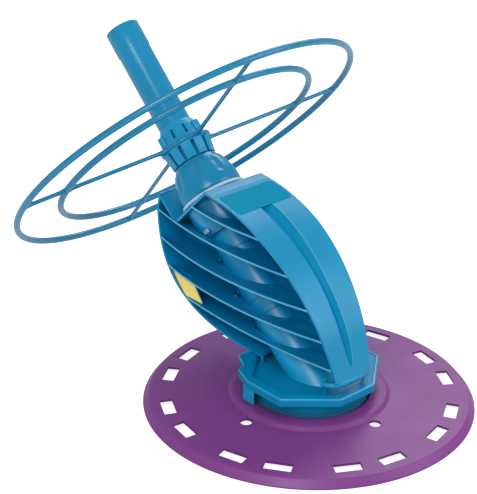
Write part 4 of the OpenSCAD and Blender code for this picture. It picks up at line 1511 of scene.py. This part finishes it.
class PC_OT_stage(bpy.types.Operator):
    """Sets up the floor, the white surroundings, the soft lamps and the camera"""

    bl_idname = "pool_cleaner.stage"
    bl_label = "Stage"

    def execute(self, context):
        scene = context.scene
        stage = scene.pc_stage
        scene.view_settings.view_transform = "Standard"

        reach = 6000
        floor = Shape().prism(rectangle(-reach, reach, -reach, reach), -20, -0.3).object("floor")
        floor.data.materials.append(pale_floor(scene.pc_colours))
        pale_world(scene, stage.sky)

        for name, width, place in LAMPS:
            lamp(name, width, place, getattr(stage, name))

        camera = bpy.data.objects.new("camera", bpy.data.cameras.new("camera"))
        camera.data.lens = stage.lens
        camera.data.sensor_width = SENSOR_WIDTH
        forward = CAMERA_FORWARD.normalized()
        level = forward.cross(Vector((0, 0, 1))).normalized()
        up = level.cross(forward)
        right = level * math.cos(stage.roll) + up * math.sin(stage.roll)
        top = right.cross(forward)
        turn = Matrix((right, top, -forward)).transposed()
        camera.matrix_world = Matrix.Translation(CAMERA_PLACE) @ turn.to_4x4()
        scene.collection.objects.link(camera)
        scene.camera = camera
        return {"FINISHED"}


def pale_floor(shades):
    """A pale floor that looks white to the camera where it is lit, and still takes the shadow."""
    made = bpy.data.materials.new("floor")
    finish = Finish(made)
    face = finish.mix(finish.noise(2), tone(shades.floor, 0.98), shades.floor)
    matte = finish.add("ShaderNodeBsdfDiffuse", {}, {"Color": face})
    glow = finish.add("ShaderNodeEmission", {}, {"Color": (1, 1, 1, 1), "Strength": 0.84})
    lit = finish.add("ShaderNodeAddShader", {}, {0: matte, 1: glow})
    shown = finish.add("ShaderNodeMixShader", {}, {0: seen_share(finish), 1: matte, 2: lit})
    finish.add("ShaderNodeOutputMaterial", {}, {"Surface": shown})
    return made


def seen_share(finish):
    """1 for what the camera sees, straight or through glass, else 0."""
    rays = [finish.add("ShaderNodeLightPath", {}, {}, name)
            for name in ("Is Camera Ray", "Is Transmission Ray")]
    return finish.spread(rays[0] + rays[1], 0, 1)


def pale_world(scene, strength):
    """White surroundings for the camera, and an even light from all round for the cleaner."""
    scene.world = bpy.data.worlds.new("surroundings")
    sky = Finish(scene.world)
    shown = sky.add("ShaderNodeBackground", {}, {"Color": (1, 1, 1, 1), "Strength": 1.0})
    light = sky.add("ShaderNodeBackground", {}, {"Color": (0.97, 0.985, 1, 1), "Strength": strength})
    mixed = sky.add("ShaderNodeMixShader", {}, {0: seen_share(sky), 1: light, 2: shown})
    sky.add("ShaderNodeOutputWorld", {}, {"Surface": mixed})


# ---- Panel and registration ----

OPERATORS = (PC_OT_stage, PC_OT_front_band, PC_OT_back_band, PC_OT_fins, PC_OT_plates, PC_OT_front_label,
             PC_OT_bosses, PC_OT_foot, PC_OT_disc, PC_OT_tube, PC_OT_collar, PC_OT_hand_nut, PC_OT_pipe,
             PC_OT_hub, PC_OT_wheel, PC_OT_inner_parts)


class PC_PT_pieces(bpy.types.Panel):
    """Lists the sizes, the colours and the operators"""

    bl_idname = "PC_PT_pieces"
    bl_label = "Pool Cleaner"
    bl_space_type = "VIEW_3D"
    bl_region_type = "UI"
    bl_category = "Pool Cleaner"

    def draw(self, context):
        for name, group in GROUPS.items():
            box = self.layout.box()
            box.label(text=name.removeprefix("pc_").title())
            for prop in group.__annotations__:
                box.prop(getattr(context.scene, name), prop)
        for operator in OPERATORS:
            self.layout.operator(operator.bl_idname)


CLASSES = (*GROUPS.values(), *OPERATORS, PC_PT_pieces)


def register():
    """Makes the classes known and gives the scene its sizes, colours and settings."""
    for each in CLASSES:
        bpy.utils.register_class(each)
    for name, group in GROUPS.items():
        setattr(bpy.types.Scene, name, PointerProperty(type=group))


def unregister():
    for name in GROUPS:
        delattr(bpy.types.Scene, name)
    for each in reversed(CLASSES):
        bpy.utils.unregister_class(each)


def main():
    """Builds every piece in order."""
    register()
    for operator in OPERATORS:
        group, action = operator.bl_idname.split(".")
        getattr(getattr(bpy.ops, group), action)()


if __name__ == "__main__":
    main()
